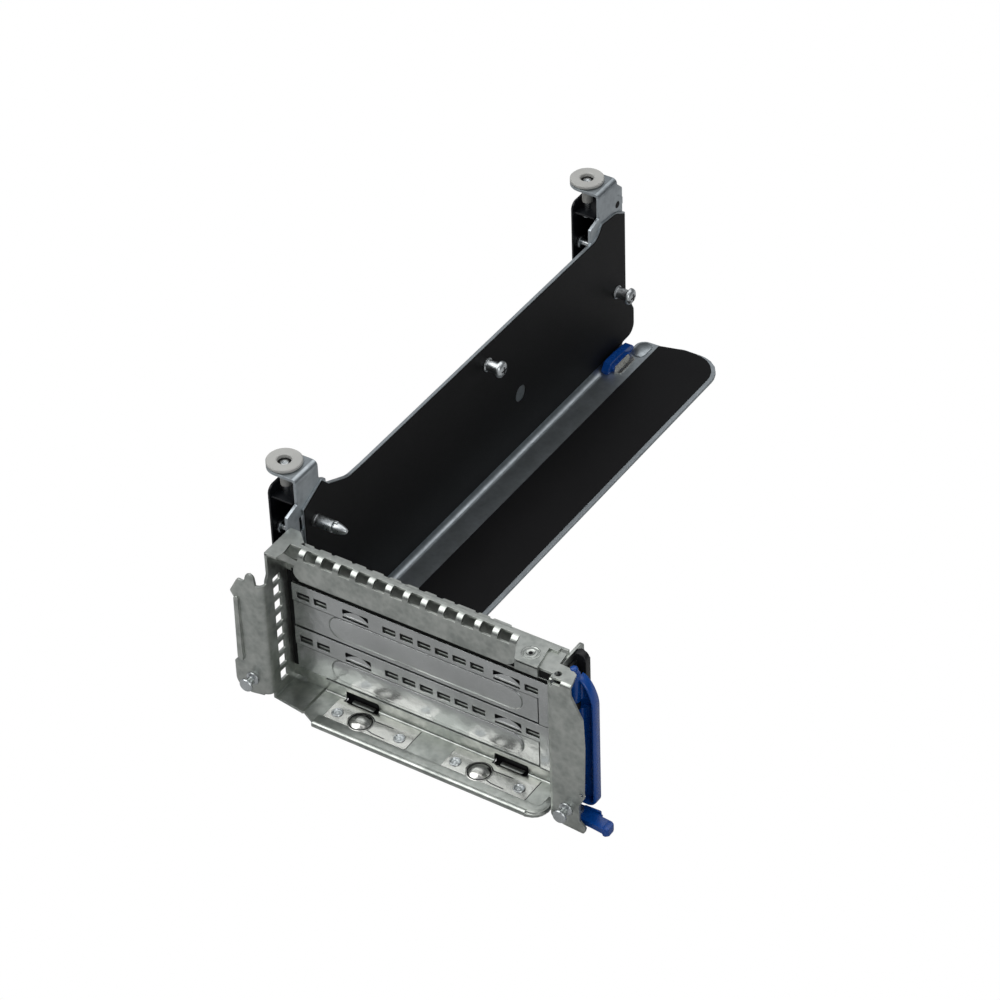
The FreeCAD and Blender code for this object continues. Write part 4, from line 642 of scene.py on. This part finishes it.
def slot_cover(low, name, node):
    """Vented strip above with two waves, capsule field below, and a stepped right end."""
    bm = bmesh.new()
    fold = low + COVER_FOLD
    top = low + COVER_TOP
    box(bm, COVER_LEFT, COVER_POST, FIELD_Y, COVER_BACK, low, fold)
    holes = [rectangle(x, x + VENT_LENGTH, fold + 1.7, fold + 4.7, 0.3) for x in VENT_LEFTS]
    for x in WAVES:
        holes.append(rectangle(x - WAVE_HALF, x + WAVE_HALF, fold + 2.7, fold + 5.3, 0.7))
        holes.append(rectangle(x - WAVE_HALF, x + WAVE_HALF, fold + 1.0, fold + 2.0, 0.4))
        scoop(bm, x, fold + 2.7)
    plate(bm, [(COVER_LEFT, fold), (COVER_POST, fold), (COVER_POST, low), (COVER_RIGHT, low),
               (COVER_RIGHT, top), (COVER_LEFT, top)], "y", STRIP_Y, STRIP_Y + COVER_SHEET, holes)
    box(bm, COVER_LEFT, COVER_POST, STRIP_Y, COVER_BACK, fold, fold + COVER_SHEET, 0.1)
    box(bm, COVER_POST, COVER_POST + COVER_SHEET, STRIP_Y, COVER_BACK, low, fold + COVER_SHEET)
    capsule(bm, fold - 5.0)
    finish_piece(name, bm, "bright_cover", "frame", [node], 25)


# Long panel, feet and films

PANEL = 1.2
PANEL_FOLD = 3.6
WALL_FRONT = 16.5
WALL_REAR = 244.5
WALL_STEP = 28.6
WALL_EDGE = 247.5
PANEL_TOE = 253.5
FLOOR_FRONT = 21.0
FLOOR_SIDE = 41.5
FILM = 0.23
FOOT_REACH = 10.0
FOOT_TOP = 83.5
FOOT_FRONTS = {"near": 26.3, "far": 229.5}
FOOT_LENGTH = 13.4
FOOT_LOW = 44.0
FOOT_OUT = -1.8
FOOT_BEND = 2.0
GUARD_OUT = -13.4
GUARD = 0.8
GUARD_LOW = 46.0
SCREW_BODIES = {"near": "near_screw", "far": "far_screw_body"}


def wall_crest(inset):
    """Upper edge of the long wall from the near foot to the toe, drawn inward by the inset."""
    return [(WALL_STEP + inset, 69.0 - inset), (40.7, 74.7 - inset), (44.6, 70.5 - inset),
            (56.4, 65.3 - inset, 12), (65.9, 65 - inset, 20), (226.5, 65 - inset, 6), (230.7, 70 - inset),
            (241, 69 - inset, 6), (WALL_EDGE - inset, 65.5 - inset), (WALL_EDGE - inset, 27, 10),
            (PANEL_TOE - inset, 15.5, 3), (PANEL_TOE - inset, 4.2 + inset, 4.5)]


def foot(bm, front):
    """Upright sheet stepped out from the wall, with its shoulder, slot and screw tab."""
    rear = front + FOOT_LENGTH
    inner = FOOT_OUT + PANEL
    fold = FOOT_TOP - FOOT_BEND
    plate(bm, [(front - 6.4, FOOT_LOW), (front - 6.4, 70.8, 0.8), (front, 72.7), (front, fold), (rear, fold),
               (rear, 75.5, 2), (rear + 4, 73, 1), (rear + 4, 69.9), (front + 4.4, 66),
               (front + 4.4, FOOT_LOW)], "x", FOOT_OUT, inner,
          [rectangle(front + 0.4, front + 3.6, 60.0, 66.5, 0.3)])
    bend(bm, "y", inner - FOOT_BEND, fold, FOOT_BEND, FOOT_BEND - PANEL, 0, front, rear)
    half = FOOT_LENGTH / 2
    middle = front + half
    tab = [(inner - FOOT_BEND, front), (inner - FOOT_BEND, rear)]
    for i in range(17):
        turn = math.radians(90 + 180 * i / 16)
        tab.append((-FOOT_REACH + half * math.cos(turn), middle + half * math.sin(turn)))
    plate(bm, tab, "z", FOOT_TOP - PANEL, FOOT_TOP, [circle(-FOOT_REACH, middle, 3.0)])


def main_panel():
    """Back wall, fold, floor with its bead, and the two feet."""
    bm = bmesh.new()
    inner_fold = PANEL_FOLD - PANEL
    plate(bm, [(WALL_FRONT, PANEL_FOLD), (WALL_FRONT, 46, 2), (WALL_STEP, 46)] + wall_crest(0)
          + [(WALL_REAR, 4.0), (WALL_REAR, PANEL_FOLD)], "x", -PANEL, 0)
    bend(bm, "y", inner_fold, PANEL_FOLD, PANEL_FOLD, inner_fold, 180, FLOOR_FRONT, WALL_REAR)
    plate(bm, [(inner_fold, FLOOR_FRONT), (FLOOR_SIDE, FLOOR_FRONT, 3), (FLOOR_SIDE, FLOOR_END, 12),
               (22, FLOOR_END, 8), (14, 253.4, 8), (3.4, 253, 4), (3.4, WALL_REAR), (inner_fold, WALL_REAR)],
          "z", 0, PANEL)
    prism(bm, rectangle(4.6, 10.5, 242.5, 252, 2.4), "z", 1.1, 1.7, 0.4)
    for front in FOOT_FRONTS.values():
        foot(bm, front)
    plate(bm, [(242.8, 62), (WALL_EDGE, 62), (WALL_EDGE, 76.8, 1.4), (242.8, 81.3)], "x", FOOT_OUT, -PANEL)
    finish_piece("panel_sheet_metal", bm, "panel_sheet", "frame", ["main_panel"])


def films():
    bm = bmesh.new()
    plate(bm, [(29.1, 4.1)] + wall_crest(0.5) + [(WALL_REAR, 4.7), (WALL_REAR, 4.1)], "x", 0.02, 0.02 + FILM,
          [circle(169.5, 28, 3.5)])
    finish_piece("wall_film_sheet", bm, "black_film", "frame", ["wall_film"])
    bm = bmesh.new()
    plate(bm, [(12, 28), (39.8, 28), (39.8, 255.5, 12), (22, 255.5, 7), (12, 252.9, 1)], "z", PANEL + 0.02,
          PANEL + 0.02 + FILM)
    finish_piece("floor_film_sheet", bm, "black_film", "frame", ["floor_film"])


def foot_pad(kind, axis_place):
    bm = bmesh.new()
    lathe(bm, [(1.6, 74.2), (2.1, 74.2), (2.1, 81.0), (3.0, 81.2), (2.9, 83.45), (6.4, 83.55), (6.7, 83.9),
               (6.7, 84.75), (6.35, 85.1), (3.1, 85.1), (2.7, 84.8), (2.6, 83.6), (1.6, 83.6), (1.6, 74.2)],
          axis_place, (0, 0, 1), 56)
    finish_piece(kind + "_pad_turned", bm, "pad_plastic", "frame", [kind + "_foot_pad"])


def captive_screw(kind, axis_place):
    bm = bmesh.new()
    lathe(bm, [(0, 83.3), (0.6, 83.3), (0.9, 83.7), (1.4, 83.6), (1.5, 83.4), (1.5, 71.2), (2.3, 71.1),
               (2.6, 70.8), (2.6, 67.8), (2.3, 67.5), (1.4, 67.5), (1.4, 69.3), (0, 69.3)], axis_place,
          (0, 0, 1), 36)
    finish_piece(kind + "_screw_turned", bm, "plated_steel", SCREW_BODIES[kind], [kind + "_captive_screw"])


def guard(kind, front):
    """Folded black sheet beside the foot: outer face, rear side, inner face and two shelves."""
    bm = bmesh.new()
    rear = front + FOOT_LENGTH
    inner = GUARD_OUT + GUARD
    plate(bm, [(front, 44, 2), (front, 75.6, 3), (rear, 75.6, 3), (rear, 44, 2)], "x", GUARD_OUT, inner)
    prism(bm, [(GUARD_OUT, GUARD_LOW), (FOOT_OUT, GUARD_LOW), (FOOT_OUT, 73.2), (GUARD_OUT, 73.2)], "y",
          rear - GUARD, rear, 0.2)
    prism(bm, [(rear, GUARD_LOW), (front + 1, GUARD_LOW), (front + 1, 63), (rear, 63)], "x",
          FOOT_OUT - GUARD, FOOT_OUT - 0.05)
    prism(bm, [(GUARD_OUT, front + 1), (FOOT_OUT, front + 1), (FOOT_OUT, rear), (GUARD_OUT, rear)], "z",
          GUARD_LOW, GUARD_LOW + GUARD, 0.2)
    prism(bm, [(inner, front + 0.6), (-3.4, front + 0.6), (-3.4, rear), (inner, rear)], "z", 70.9, 71.6, 0.25)
    finish_piece(kind + "_guard_folded", bm, "black_guard", "frame", [kind + "_guard"])


def guard_rivet(kind, front):
    bm = bmesh.new()
    lathe(bm, [(0, -14.0), (1.0, -13.9), (1.7, -13.45), (1.2, -13.4), (1.2, -12.6), (2.4, -12.6),
               (2.6, -12.3), (2.6, -11.5), (2.3, -11.2), (1.2, -11.2), (1.2, -1.0), (0, -1.0)],
          (0, front + 4.5, 55.5), (1, 0, 0), 32)
    finish_piece(kind + "_guard_rivet_turned", bm, "plated_steel", "frame", [kind + "_guard_rivet"])


def screw_foot(kind, front):
    """Pad, captive screw, folded guard and guard rivet of one foot."""
    axis_place = (-FOOT_REACH, front + FOOT_LENGTH / 2, 0)
    foot_pad(kind, axis_place)
    captive_screw(kind, axis_place)
    guard(kind, front)
    guard_rivet(kind, front)


# Latch guide and spring strips

HUB_X = 124.5
HUB_Y = 8.8
GUIDE_X = BODY_WIDTH + 0.02
EARS = ((13.0, 16.0), (48.5, 51.5))
EAR_RADIUS = 2.0
STRIPS = (("left", 22.0, LIP_WINDOWS[0]), ("right", 72.2, LIP_WINDOWS[1]))
STRIP_LENGTH = 34.9
STRIP_TOP = 2.25
STRIP_AXIS_Y = 6.1
DIMPLE_OFFSET = 13.6


def guide_block():
    """Black block on the right wall: base, two ears for the latch's pin, and a rounded stop behind."""
    bm = bmesh.new()
    prism(bm, [(6.6, 10), (24, 10, 2), (24, 61.2, 2), (6.6, 61.2)], "x", GUIDE_X, 120.2, 0.2)
    prism(bm, [(GUIDE_X, 40), (123.7, 40, 2), (123.7, 64.4, 2.4), (GUIDE_X, 64.4, 1)], "y", 17.4, 20.4, 0.6,
          segments=3)
    for low, high in EARS:
        box(bm, GUIDE_X, HUB_X, HUB_Y - EAR_RADIUS, HUB_Y + EAR_RADIUS, low, high, 0.2)
        lathe(bm, [(0, low), (EAR_RADIUS, low), (EAR_RADIUS, high), (0, high)], (HUB_X, HUB_Y, 0),
              (0, 0, 1), 28)
    finish_piece("guide_block", bm, "black_plastic", "frame", ["latch_guide"])


def spring_strips():
    """Two contact strips on the flange, notched behind; black ribbons paint the shade in the slit round each
    tongue and along each strip's front and right edges.
    """
    slits = bmesh.new()
    slit_shade_z = STRIP_TOP + 0.025
    for name, left, window in STRIPS:
        bm = bmesh.new()
        right = left + STRIP_LENGTH
        plate(bm, [(left, 2.2, 0.5), (right, 2.2, 0.5), (right, 13.2, 0.5), (window[1], 13.2),
                   (window[1], 12.4), (window[0], 12.4), (window[0], 13.2), (left, 13.2, 0.5)], "z", 2.02,
              STRIP_TOP)
        finish_piece(name + "_strip_sheet", bm, "bright_spring", "frame", [name + "_spring_strip"])
        x = left + DIMPLE_OFFSET
        # Black ribbons and ring: painted shade in the slit round the tongue and round the dimple's foot
        points = [(x + 12, 9.4), (x + 6.5, 9.2)]
        for i in range(18):
            turn = math.radians(38 + 9 * i)
            points.append((x + 5.0 * math.cos(turn), STRIP_AXIS_Y + 5.0 * math.sin(turn)))
        ribbon(slits, points, 0.4, slit_shade_z)
        lathe(slits, [(4.05, 2.55), (4.5, 2.55)], (x, STRIP_AXIS_Y, 0), (0, 0, 1), 48)
        ribbon(slits, [(x + 4.4, 3.9), (x + 6.5, 3.3), (x + 12, 3.1)], 0.4, slit_shade_z)
        # Black ribbon: painted shade along the strip's front and right edges
        ribbon(slits, [(left + 0.1, 2.1), (right, 2.1), (right + 0.1, 13.2)], 0.22, 2.02)
    finish_piece("strip_painted_shade", slits, "black_film", "frame")


faceplate()
right_bracket()
slot_cover(COVER_LOWS[0], "lower_cover_sheet", "lower_slot_cover")
slot_cover(COVER_LOWS[1], "upper_cover_sheet", "upper_slot_cover")
main_panel()
films()
for foot_kind, foot_front in FOOT_FRONTS.items():
    screw_foot(foot_kind, foot_front)
guide_block()
spring_strips()


# Blue plastic

LATCH_LEFT = 126.8
LATCH_RIGHT = 132.4
LATCH_FOOT = 5.4
LATCH_BACK = 12.2
LATCH_FACE = 11.4
SHOULDER_LEFT = 126.0
SHOULDER_LOW = 51.5
SHOULDER_RISE = 11.1
SHOULDER_POWER = 1.2
FOOT_CORNER = 3.4
FACE_LEFT = 125.3
HUB_LENGTHS = ((8.2, 12.7), (16.3, 48.2), (51.8, 64.2))
HUB_RADIUS = 2.15
RIM_PROFILE = ((0.3, LATCH_BACK), (0, 11.9), (0, 9.4), (0.15, 8.7), (0.5, 8.3), (0.95, 8.3), (1.3, 8.7),
               (1.4, 9.4), (1.4, 12.0))


def latch_edge():
    """Free edge of the shell, (x, z) with its inward direction: shoulder, right side and lower corner."""
    points = []
    for i in range(17):
        turn = math.radians(90 * i / 16)
        points.append((SHOULDER_LEFT + (LATCH_RIGHT - SHOULDER_LEFT) * math.sin(turn) ** SHOULDER_POWER,
                       SHOULDER_LOW + SHOULDER_RISE * math.cos(turn) ** SHOULDER_POWER))
    for i in range(9):
        turn = math.radians(90 * i / 8)
        points.append((LATCH_RIGHT - FOOT_CORNER + FOOT_CORNER * math.cos(turn),
                       LATCH_FOOT + FOOT_CORNER - FOOT_CORNER * math.sin(turn)))
    points.append((LATCH_LEFT, LATCH_FOOT))
    edge = []
    for i, (x, z) in enumerate(points):
        ahead = Vector(points[min(i + 1, len(points) - 1)]) - Vector(points[max(i - 1, 0)])
        edge.append((x, z, Vector((ahead.y, -ahead.x)).normalized()))
    return edge


def latch():
    """Retainer latch: hollow shell with a rounded rim, a hub in three lengths and a knob."""
    bm = bmesh.new()
    rings = [[bm.verts.new(row(x + n * inward.x, y, z + n * inward.y)) for n, y in RIM_PROFILE]
             for x, z, inward in latch_edge()]
    for a, b in zip(rings, rings[1:]):
        for i in range(len(RIM_PROFILE)):
            bm.faces.new((a[i - 1], a[i], b[i], b[i - 1]))
    bm.faces.new(rings[0])
    bm.faces.new(rings[-1])
    face = [(x + 0.6 * inward.x, z + 0.6 * inward.y) for x, z, inward in latch_edge()[2:]]
    prism(bm, face[:-1] + [(FACE_LEFT, LATCH_FOOT + 0.6), (FACE_LEFT, 60.8)], "y", LATCH_FACE, LATCH_BACK)
    for low, high in HUB_LENGTHS:
        lathe(bm, [(0, low), (1.9, low), (HUB_RADIUS, low + 0.3), (HUB_RADIUS, high - 0.3), (1.9, high),
                   (0, high)], (HUB_X, HUB_Y, 0), (0, 0, 1))
        prism(bm, [(124.6, 9.6), (126.0, 9.6), (127.4, LATCH_FACE), (127.4, LATCH_BACK), (126.2, LATCH_BACK),
                   (124.6, 10.7)], "z", low + 0.3, min(high, 62.0) - 0.3, 0.1)
    knob_low = HUB_LENGTHS[-1][1]
    lathe(bm, [(1.45, knob_low), (1.45, 65.8), (1.2, 66.4), (0.6, 66.65), (0, 66.65)], (HUB_X, HUB_Y, 0),
          (0, 0, 1))
    box(bm, LATCH_LEFT + 0.2, 129.6, 10.2, 11.5, 49.4, 49.9, 0.1)
    finish_piece("latch_shell", bm, "blue_plastic", "latch", ["retainer_latch"], 50)


def lever():
    """Release lever: smooth arm with a ridge along its rear edge and a rounded, turned-down tip."""
    bm = bmesh.new()
    prism(bm, [(123.9, 2.9, 1), (133.8, 2.6, 3), (140.4, 1.9, 1.0), (140.7, 6.9, 1.2), (134.9, 7.4, 1),
               (134.6, 9.2, 1), (123.9, 9.0, 1)], "z", 1.8, 4.1, 0.5, segments=4)
    prism(bm, [(127.6, 8.0, 0.3), (134.4, 8.2, 0.3), (134.4, 9.1, 0.3), (127.6, 8.9, 0.3)], "z", 3.9, 4.7,
          0.25)
    prism(bm, [(138.4, 2.2, 0.5), (140.9, 2.0, 0.9), (140.9, 6.8, 0.9), (138.4, 7.0, 0.5)], "z", 0.9, 4.15,
          0.5, segments=4)
    finish_piece("lever_shell", bm, "blue_plastic", "lever", ["release_lever"])


def rear_tab():
    """Blue blade on the floor, rounded along its top, and its foot that meets the metal clip."""
    bm = bmesh.new()
    prism(bm, [(226.2, 0.1), (246, 0.1), (246, 4.4, 2.6), (236, 5.4, 30), (228.5, 5.6, 3), (226, 2.6, 2)],
          "x", 1.4, 4.4, 1.3, 10, 5)
    box(bm, 4.0, 5.35, 229.0, 241.2, 1.25, 3.0, 0.2)
    finish_piece("rear_tab_shell", bm, "blue_plastic", "frame", ["rear_clip_tab"], 50)


latch()
lever()
rear_tab()


# Pins, rivets and screws

WALL_RIVET_Y = 18.6
WALL_RIVET_SHARES = (0.15, 0.35, 0.55)
STRIP_RIVET_INSETS = (3.6, 30.2)
GUIDE_PIN_Z = 8.8
PLATEAU_RIVET = (108.4, 7.1, 0)


def guide_pin(name, x, node):
    """Pin head with a turned groove, its shank and the collar on the wing."""
    bm = bmesh.new()
    lathe(bm, [(0, -5.0), (1.9, -5.0), (2.45, -4.85), (2.7, -4.5), (2.7, -3.95), (2.5, -3.7), (1.5, -3.7),
               (1.5, -1.2), (2.0, -0.95), (2.6, -0.5), (2.7, -0.05), (1.6, -0.05), (1.6, 1.0), (2.0, 1.02),
               (1.7, 1.25), (0, 1.3)], (x, 0, GUIDE_PIN_Z), (0, 1, 0))
    finish_piece(name, bm, "plated_steel", "frame", [node])


def strip_rivets():
    """Cup-shaped rivet heads on both spring strips."""
    bm = bmesh.new()
    for _, left, _ in STRIPS:
        for inset in STRIP_RIVET_INSETS:
            lathe(bm, [(0.8, 1.0), (0.8, 2.2), (2.2, 2.26), (2.2, 2.5), (2.0, 2.75), (1.75, 2.75),
                       (1.45, 2.35), (0.8, 2.3), (0.55, 2.6), (0, 2.65)], (left + inset, STRIP_AXIS_Y, 0),
                  (0, 0, 1), 32)
    finish_piece("strip_rivet_heads", bm, "plated_steel", "frame", ["spring_strip_rivets"])


def dimples():
    """Polished bowls of the two contact tongues, with a raised ring round each."""
    for side, left, _ in STRIPS:
        bm = bmesh.new()
        lathe(bm, [(4.95, 2.27), (4.7, 2.5), (4.4, 2.5), (4.2, 2.35), (3.9, 2.6), (3.2, 3.15), (2.3, 3.55),
                   (1.2, 3.78), (0, 3.85)], (left + DIMPLE_OFFSET, STRIP_AXIS_Y, 0), (0, 0, 1), 48)
        finish_piece(side + "_dimple", bm, "bright_spring", "frame", sharp=60)


def bracket_rivet():
    """Rivet of the plateau: low head with two turned rings and a small recess."""
    bm = bmesh.new()
    lathe(bm, [(1.6, 65.0), (1.6, 66.9), (3.5, 66.98), (3.45, 67.15), (3.1, 67.22), (2.9, 67.05),
               (2.6, 67.05), (2.4, 67.3), (1.7, 67.35), (1.5, 67.2), (0.8, 67.15), (0.6, 66.6), (0, 66.5)],
          PLATEAU_RIVET, (0, 0, 1))
    finish_piece("bracket_rivet_head", bm, "zinc_sheet", "frame", ["bracket_rivet"])


def snap_pin():
    """Snap pin with its staked end, its lug and its blunt tip."""
    bm = bmesh.new()
    lathe(bm, [(0, -1.5), (1.2, -1.45), (1.7, -1.2), (1.3, -1.15), (1.3, 0), (2.4, 0.02), (2.4, 1.1),
               (2.3, 1.2), (2.3, 7.9), (2.1, 8.1), (1.4, 8.15), (1.4, 8.8), (2.25, 8.95), (2.3, 9.2),
               (1.8, 11.4), (1.1, 13.3), (0.7, 13.75), (0, 13.8)], (0, 35.0, 60.4), (1, 0, 0))
    box(bm, 8.6, 9.9, 34.3, 35.7, 62.2, 63.1, 0.15)
    finish_piece("snap_pin_turned", bm, "plated_steel", "frame", ["snap_pin"])


def wall_rivet_stakes():
    """Spread ends of the wall rivets on the panel's outer face."""
    bm = bmesh.new()
    for share in WALL_RIVET_SHARES:
        lathe(bm, [(0, -1.5), (0.9, -1.45), (1.4, -1.25), (1.4, -1.1), (0, -1.1)],
              (0, WALL_RIVET_Y, share * BODY_HEIGHT), (1, 0, 0), 24)
    finish_piece("wall_rivet_stakes", bm, "plated_steel", "frame")


def support_screw(kind, y, z):
    """Turned standoff on the wall, and its domed screw head with a cross recess, whose shade a black cross
    paints.
    """
    bm = bmesh.new()
    lathe(bm, [(0, -1.6), (1.5, -1.5), (2.0, -1.2), (2.0, 0.26), (2.8, 0.27), (2.8, 0.6), (2.3, 0.9),
               (2.2, 1.2), (2.2, 5.3), (2.0, 5.5), (0, 5.5)], (0, y, z), (1, 0, 0))
    finish_piece(kind + "_standoff_turned", bm, "plated_steel", "frame", [kind + "_standoff"])
    bm = bmesh.new()
    lathe(bm, [(0, 5.0), (1.0, 5.0), (1.05, 5.5), (3.1, 5.55), (3.35, 5.8), (3.35, 6.4), (3.05, 7.0),
               (2.3, 7.5), (1.2, 7.78), (0, 7.8)], (0, y, z), (1, 0, 0))
    finish_piece(kind + "_screw_head", bm, "plated_steel", "frame", [kind + "_screw"])
    # Black cross: painted shade in the screw head's recess
    cross = bmesh.new()
    box(cross, 7.3, 7.9, y - 1.5, y + 1.5, z - 0.28, z + 0.28)
    box(cross, 7.31, 7.91, y - 0.28, y + 0.28, z - 1.5, z + 1.5)
    finish_piece(kind + "_recess_shade", cross, "black_plastic", "frame")


guide_pin("left_pin_turned", -6.5, "left_guide_pin")
guide_pin("right_pin_turned", 125.5, "right_guide_pin")
strip_rivets()
dimples()
bracket_rivet()
snap_pin()
wall_rivet_stakes()
support_screw("middle", 147.5, 56.1)
support_screw("far", 240.6, 31.4)


# Black sheets that paint the shade in the gaps between the sheets, and thin bright edges

SHADE_FRONT = 15.28
SHADE_BACK = 15.38


def painted_shade_gaps():
    """Black sheets that paint the shade behind the vents, waves and covers' ends, under the bulkhead, in the
    lip, in the plateau rivet's recess and in the pads.
    """
    bm = bmesh.new()
    for low in COVER_LOWS:
        fold = low + COVER_FOLD
        for x in VENT_LEFTS:
            box(bm, x + 0.1, x + VENT_LENGTH - 0.1, SHADE_FRONT, SHADE_BACK, fold + 2.8, fold + 4.5)
        for x in WAVES:
            box(bm, x - WAVE_HALF - 0.4, x + WAVE_HALF + 0.4, SHADE_FRONT, SHADE_BACK, fold + 0.7, fold + 5.6)
    box(bm, 1.05, 2.9, 15.2, SHADE_BACK, 8.0, 52.0)
    box(bm, COVER_LEFT, 117.0, 15.2, SHADE_BACK, 47.75, 53.5)
    for low, high in LIP_WINDOWS:
        box(bm, low + 0.02, high - 0.02, LIP_WINDOW_FRONT + 0.05, LIP_Y - 0.05, 0.9, FLANGE_LOW)
        box(bm, low + 0.02, high - 0.02, SHADE_FRONT, SHADE_BACK, FLANGE_LOW, LIP_WINDOW_TOP - 0.05)
    # Black discs: painted shade in the plateau rivet's recess and at the far upright
    lathe(bm, [(0.75, 67.16), (0, 67.16)], PLATEAU_RIVET, (0, 0, 1), 20)
    lathe(bm, [(1.5, -0.57), (0, -0.57)], (0, 243.0, 71.4), (1, 0, 0), 24)
    for front in FOOT_FRONTS.values():
        lathe(bm, [(1.6, 83.65), (2.61, 83.65)], (-FOOT_REACH, front + FOOT_LENGTH / 2, 0), (0, 0, 1), 36)
    finish_piece("painted_shade_gaps", bm, "black_film", "frame")


def gap_details():
    """Edge of sheet inside the gap under the bulkhead, and the tongue in each window of the lip."""
    bm = bmesh.new()
    box(bm, 6.0, 112.0, 14.95, 15.15, 48.8, 49.2, 0.08)
    for low, high in LIP_WINDOWS:
        left = low + 3
        right = high - 1.6
        prism(bm, [(left, 12.9, 0.6), (right, 12.9, 0.6), (right, 14.9), (left, 14.9)], "z", 1.9, 2.3, 0.1)
    finish_piece("gap_details", bm, "zinc_sheet", "frame")


painted_shade_gaps()
gap_details()


# Studio, in metres

FLOOR_HALF = 3.0
FLOOR_DROP = 0.0004


def stage():
    """Pale floor that shows white to the camera and grey to mirrors."""
    mesh = bpy.data.meshes.new("stage_floor")
    level = cad_box[0][2] - FLOOR_DROP
    corners = [(-FLOOR_HALF, -FLOOR_HALF), (FLOOR_HALF, -FLOOR_HALF), (FLOOR_HALF, FLOOR_HALF),
               (-FLOOR_HALF, FLOOR_HALF)]
    mesh.from_pydata([(x, y, level) for x, y in corners], [], [(0, 1, 2, 3)])
    floor = bpy.data.objects.new("stage_floor", mesh)
    bpy.context.scene.collection.objects.link(floor)
    material, tree, shader = new_material("floor_white")
    shader.inputs["Base Color"].default_value = (0.45, 0.45, 0.45, 1)
    shader.inputs["Roughness"].default_value = 0.9
    glow = add(tree, "ShaderNodeEmission", Color=(1, 1, 1, 1), Strength=1.0)
    mix = tree.nodes.new("ShaderNodeMixShader")
    rays = tree.nodes.new("ShaderNodeLightPath")
    tree.links.new(rays.outputs["Is Camera Ray"], mix.inputs[0])
    tree.links.new(shader.outputs[0], mix.inputs[1])
    tree.links.new(glow.outputs[0], mix.inputs[2])
    tree.links.new(mix.outputs[0], tree.nodes["Material Output"].inputs[0])
    mesh.materials.append(material)


def world():
    """Surroundings that brighten upwards for the light, white where the camera looks past the object."""
    sky = bpy.data.worlds.new("studio")
    bpy.context.scene.world = sky
    sky.use_nodes = True
    tree = sky.node_tree
    tree.nodes.clear()
    place = tree.nodes.new("ShaderNodeTexCoord")
    split = tree.nodes.new("ShaderNodeSeparateXYZ")
    tree.links.new(place.outputs["Generated"], split.inputs[0])
    light = add(tree, "ShaderNodeBackground", Strength=1.0)
    shades = [(0.0, (0.05, 0.052, 0.055)), (0.35, (0.16, 0.165, 0.17)), (0.7, (0.5, 0.51, 0.53)),
              (1.0, (0.3, 0.3, 0.31))]
    tree.links.new(ramp(tree, split.outputs["Z"], shades), light.inputs["Color"])
    white = add(tree, "ShaderNodeBackground", Color=(1, 1, 1, 1), Strength=1.0)
    mix = tree.nodes.new("ShaderNodeMixShader")
    rays = tree.nodes.new("ShaderNodeLightPath")
    output = tree.nodes.new("ShaderNodeOutputWorld")
    tree.links.new(rays.outputs["Is Camera Ray"], mix.inputs[0])
    tree.links.new(light.outputs[0], mix.inputs[1])
    tree.links.new(white.outputs[0], mix.inputs[2])
    tree.links.new(mix.outputs[0], output.inputs[0])


def softbox(name, place, size, watts):
    data = bpy.data.lights.new(name, "AREA")
    data.shape = "SQUARE"
    data.size = size
    data.energy = watts
    lamp = bpy.data.objects.new(name, data)
    aim = (-Vector(place)).to_track_quat("-Z", "Y").to_matrix().to_4x4()
    lamp.matrix_world = Matrix.Translation(place) @ aim
    bpy.context.scene.collection.objects.link(lamp)


stage()
world()
softbox("key", (-0.7, -0.5, 1.3), 1.3, 14)
softbox("fill", (1.2, -0.9, 0.6), 0.8, 5)
softbox("top", (0.1, 0.5, 1.5), 1.6, 9)
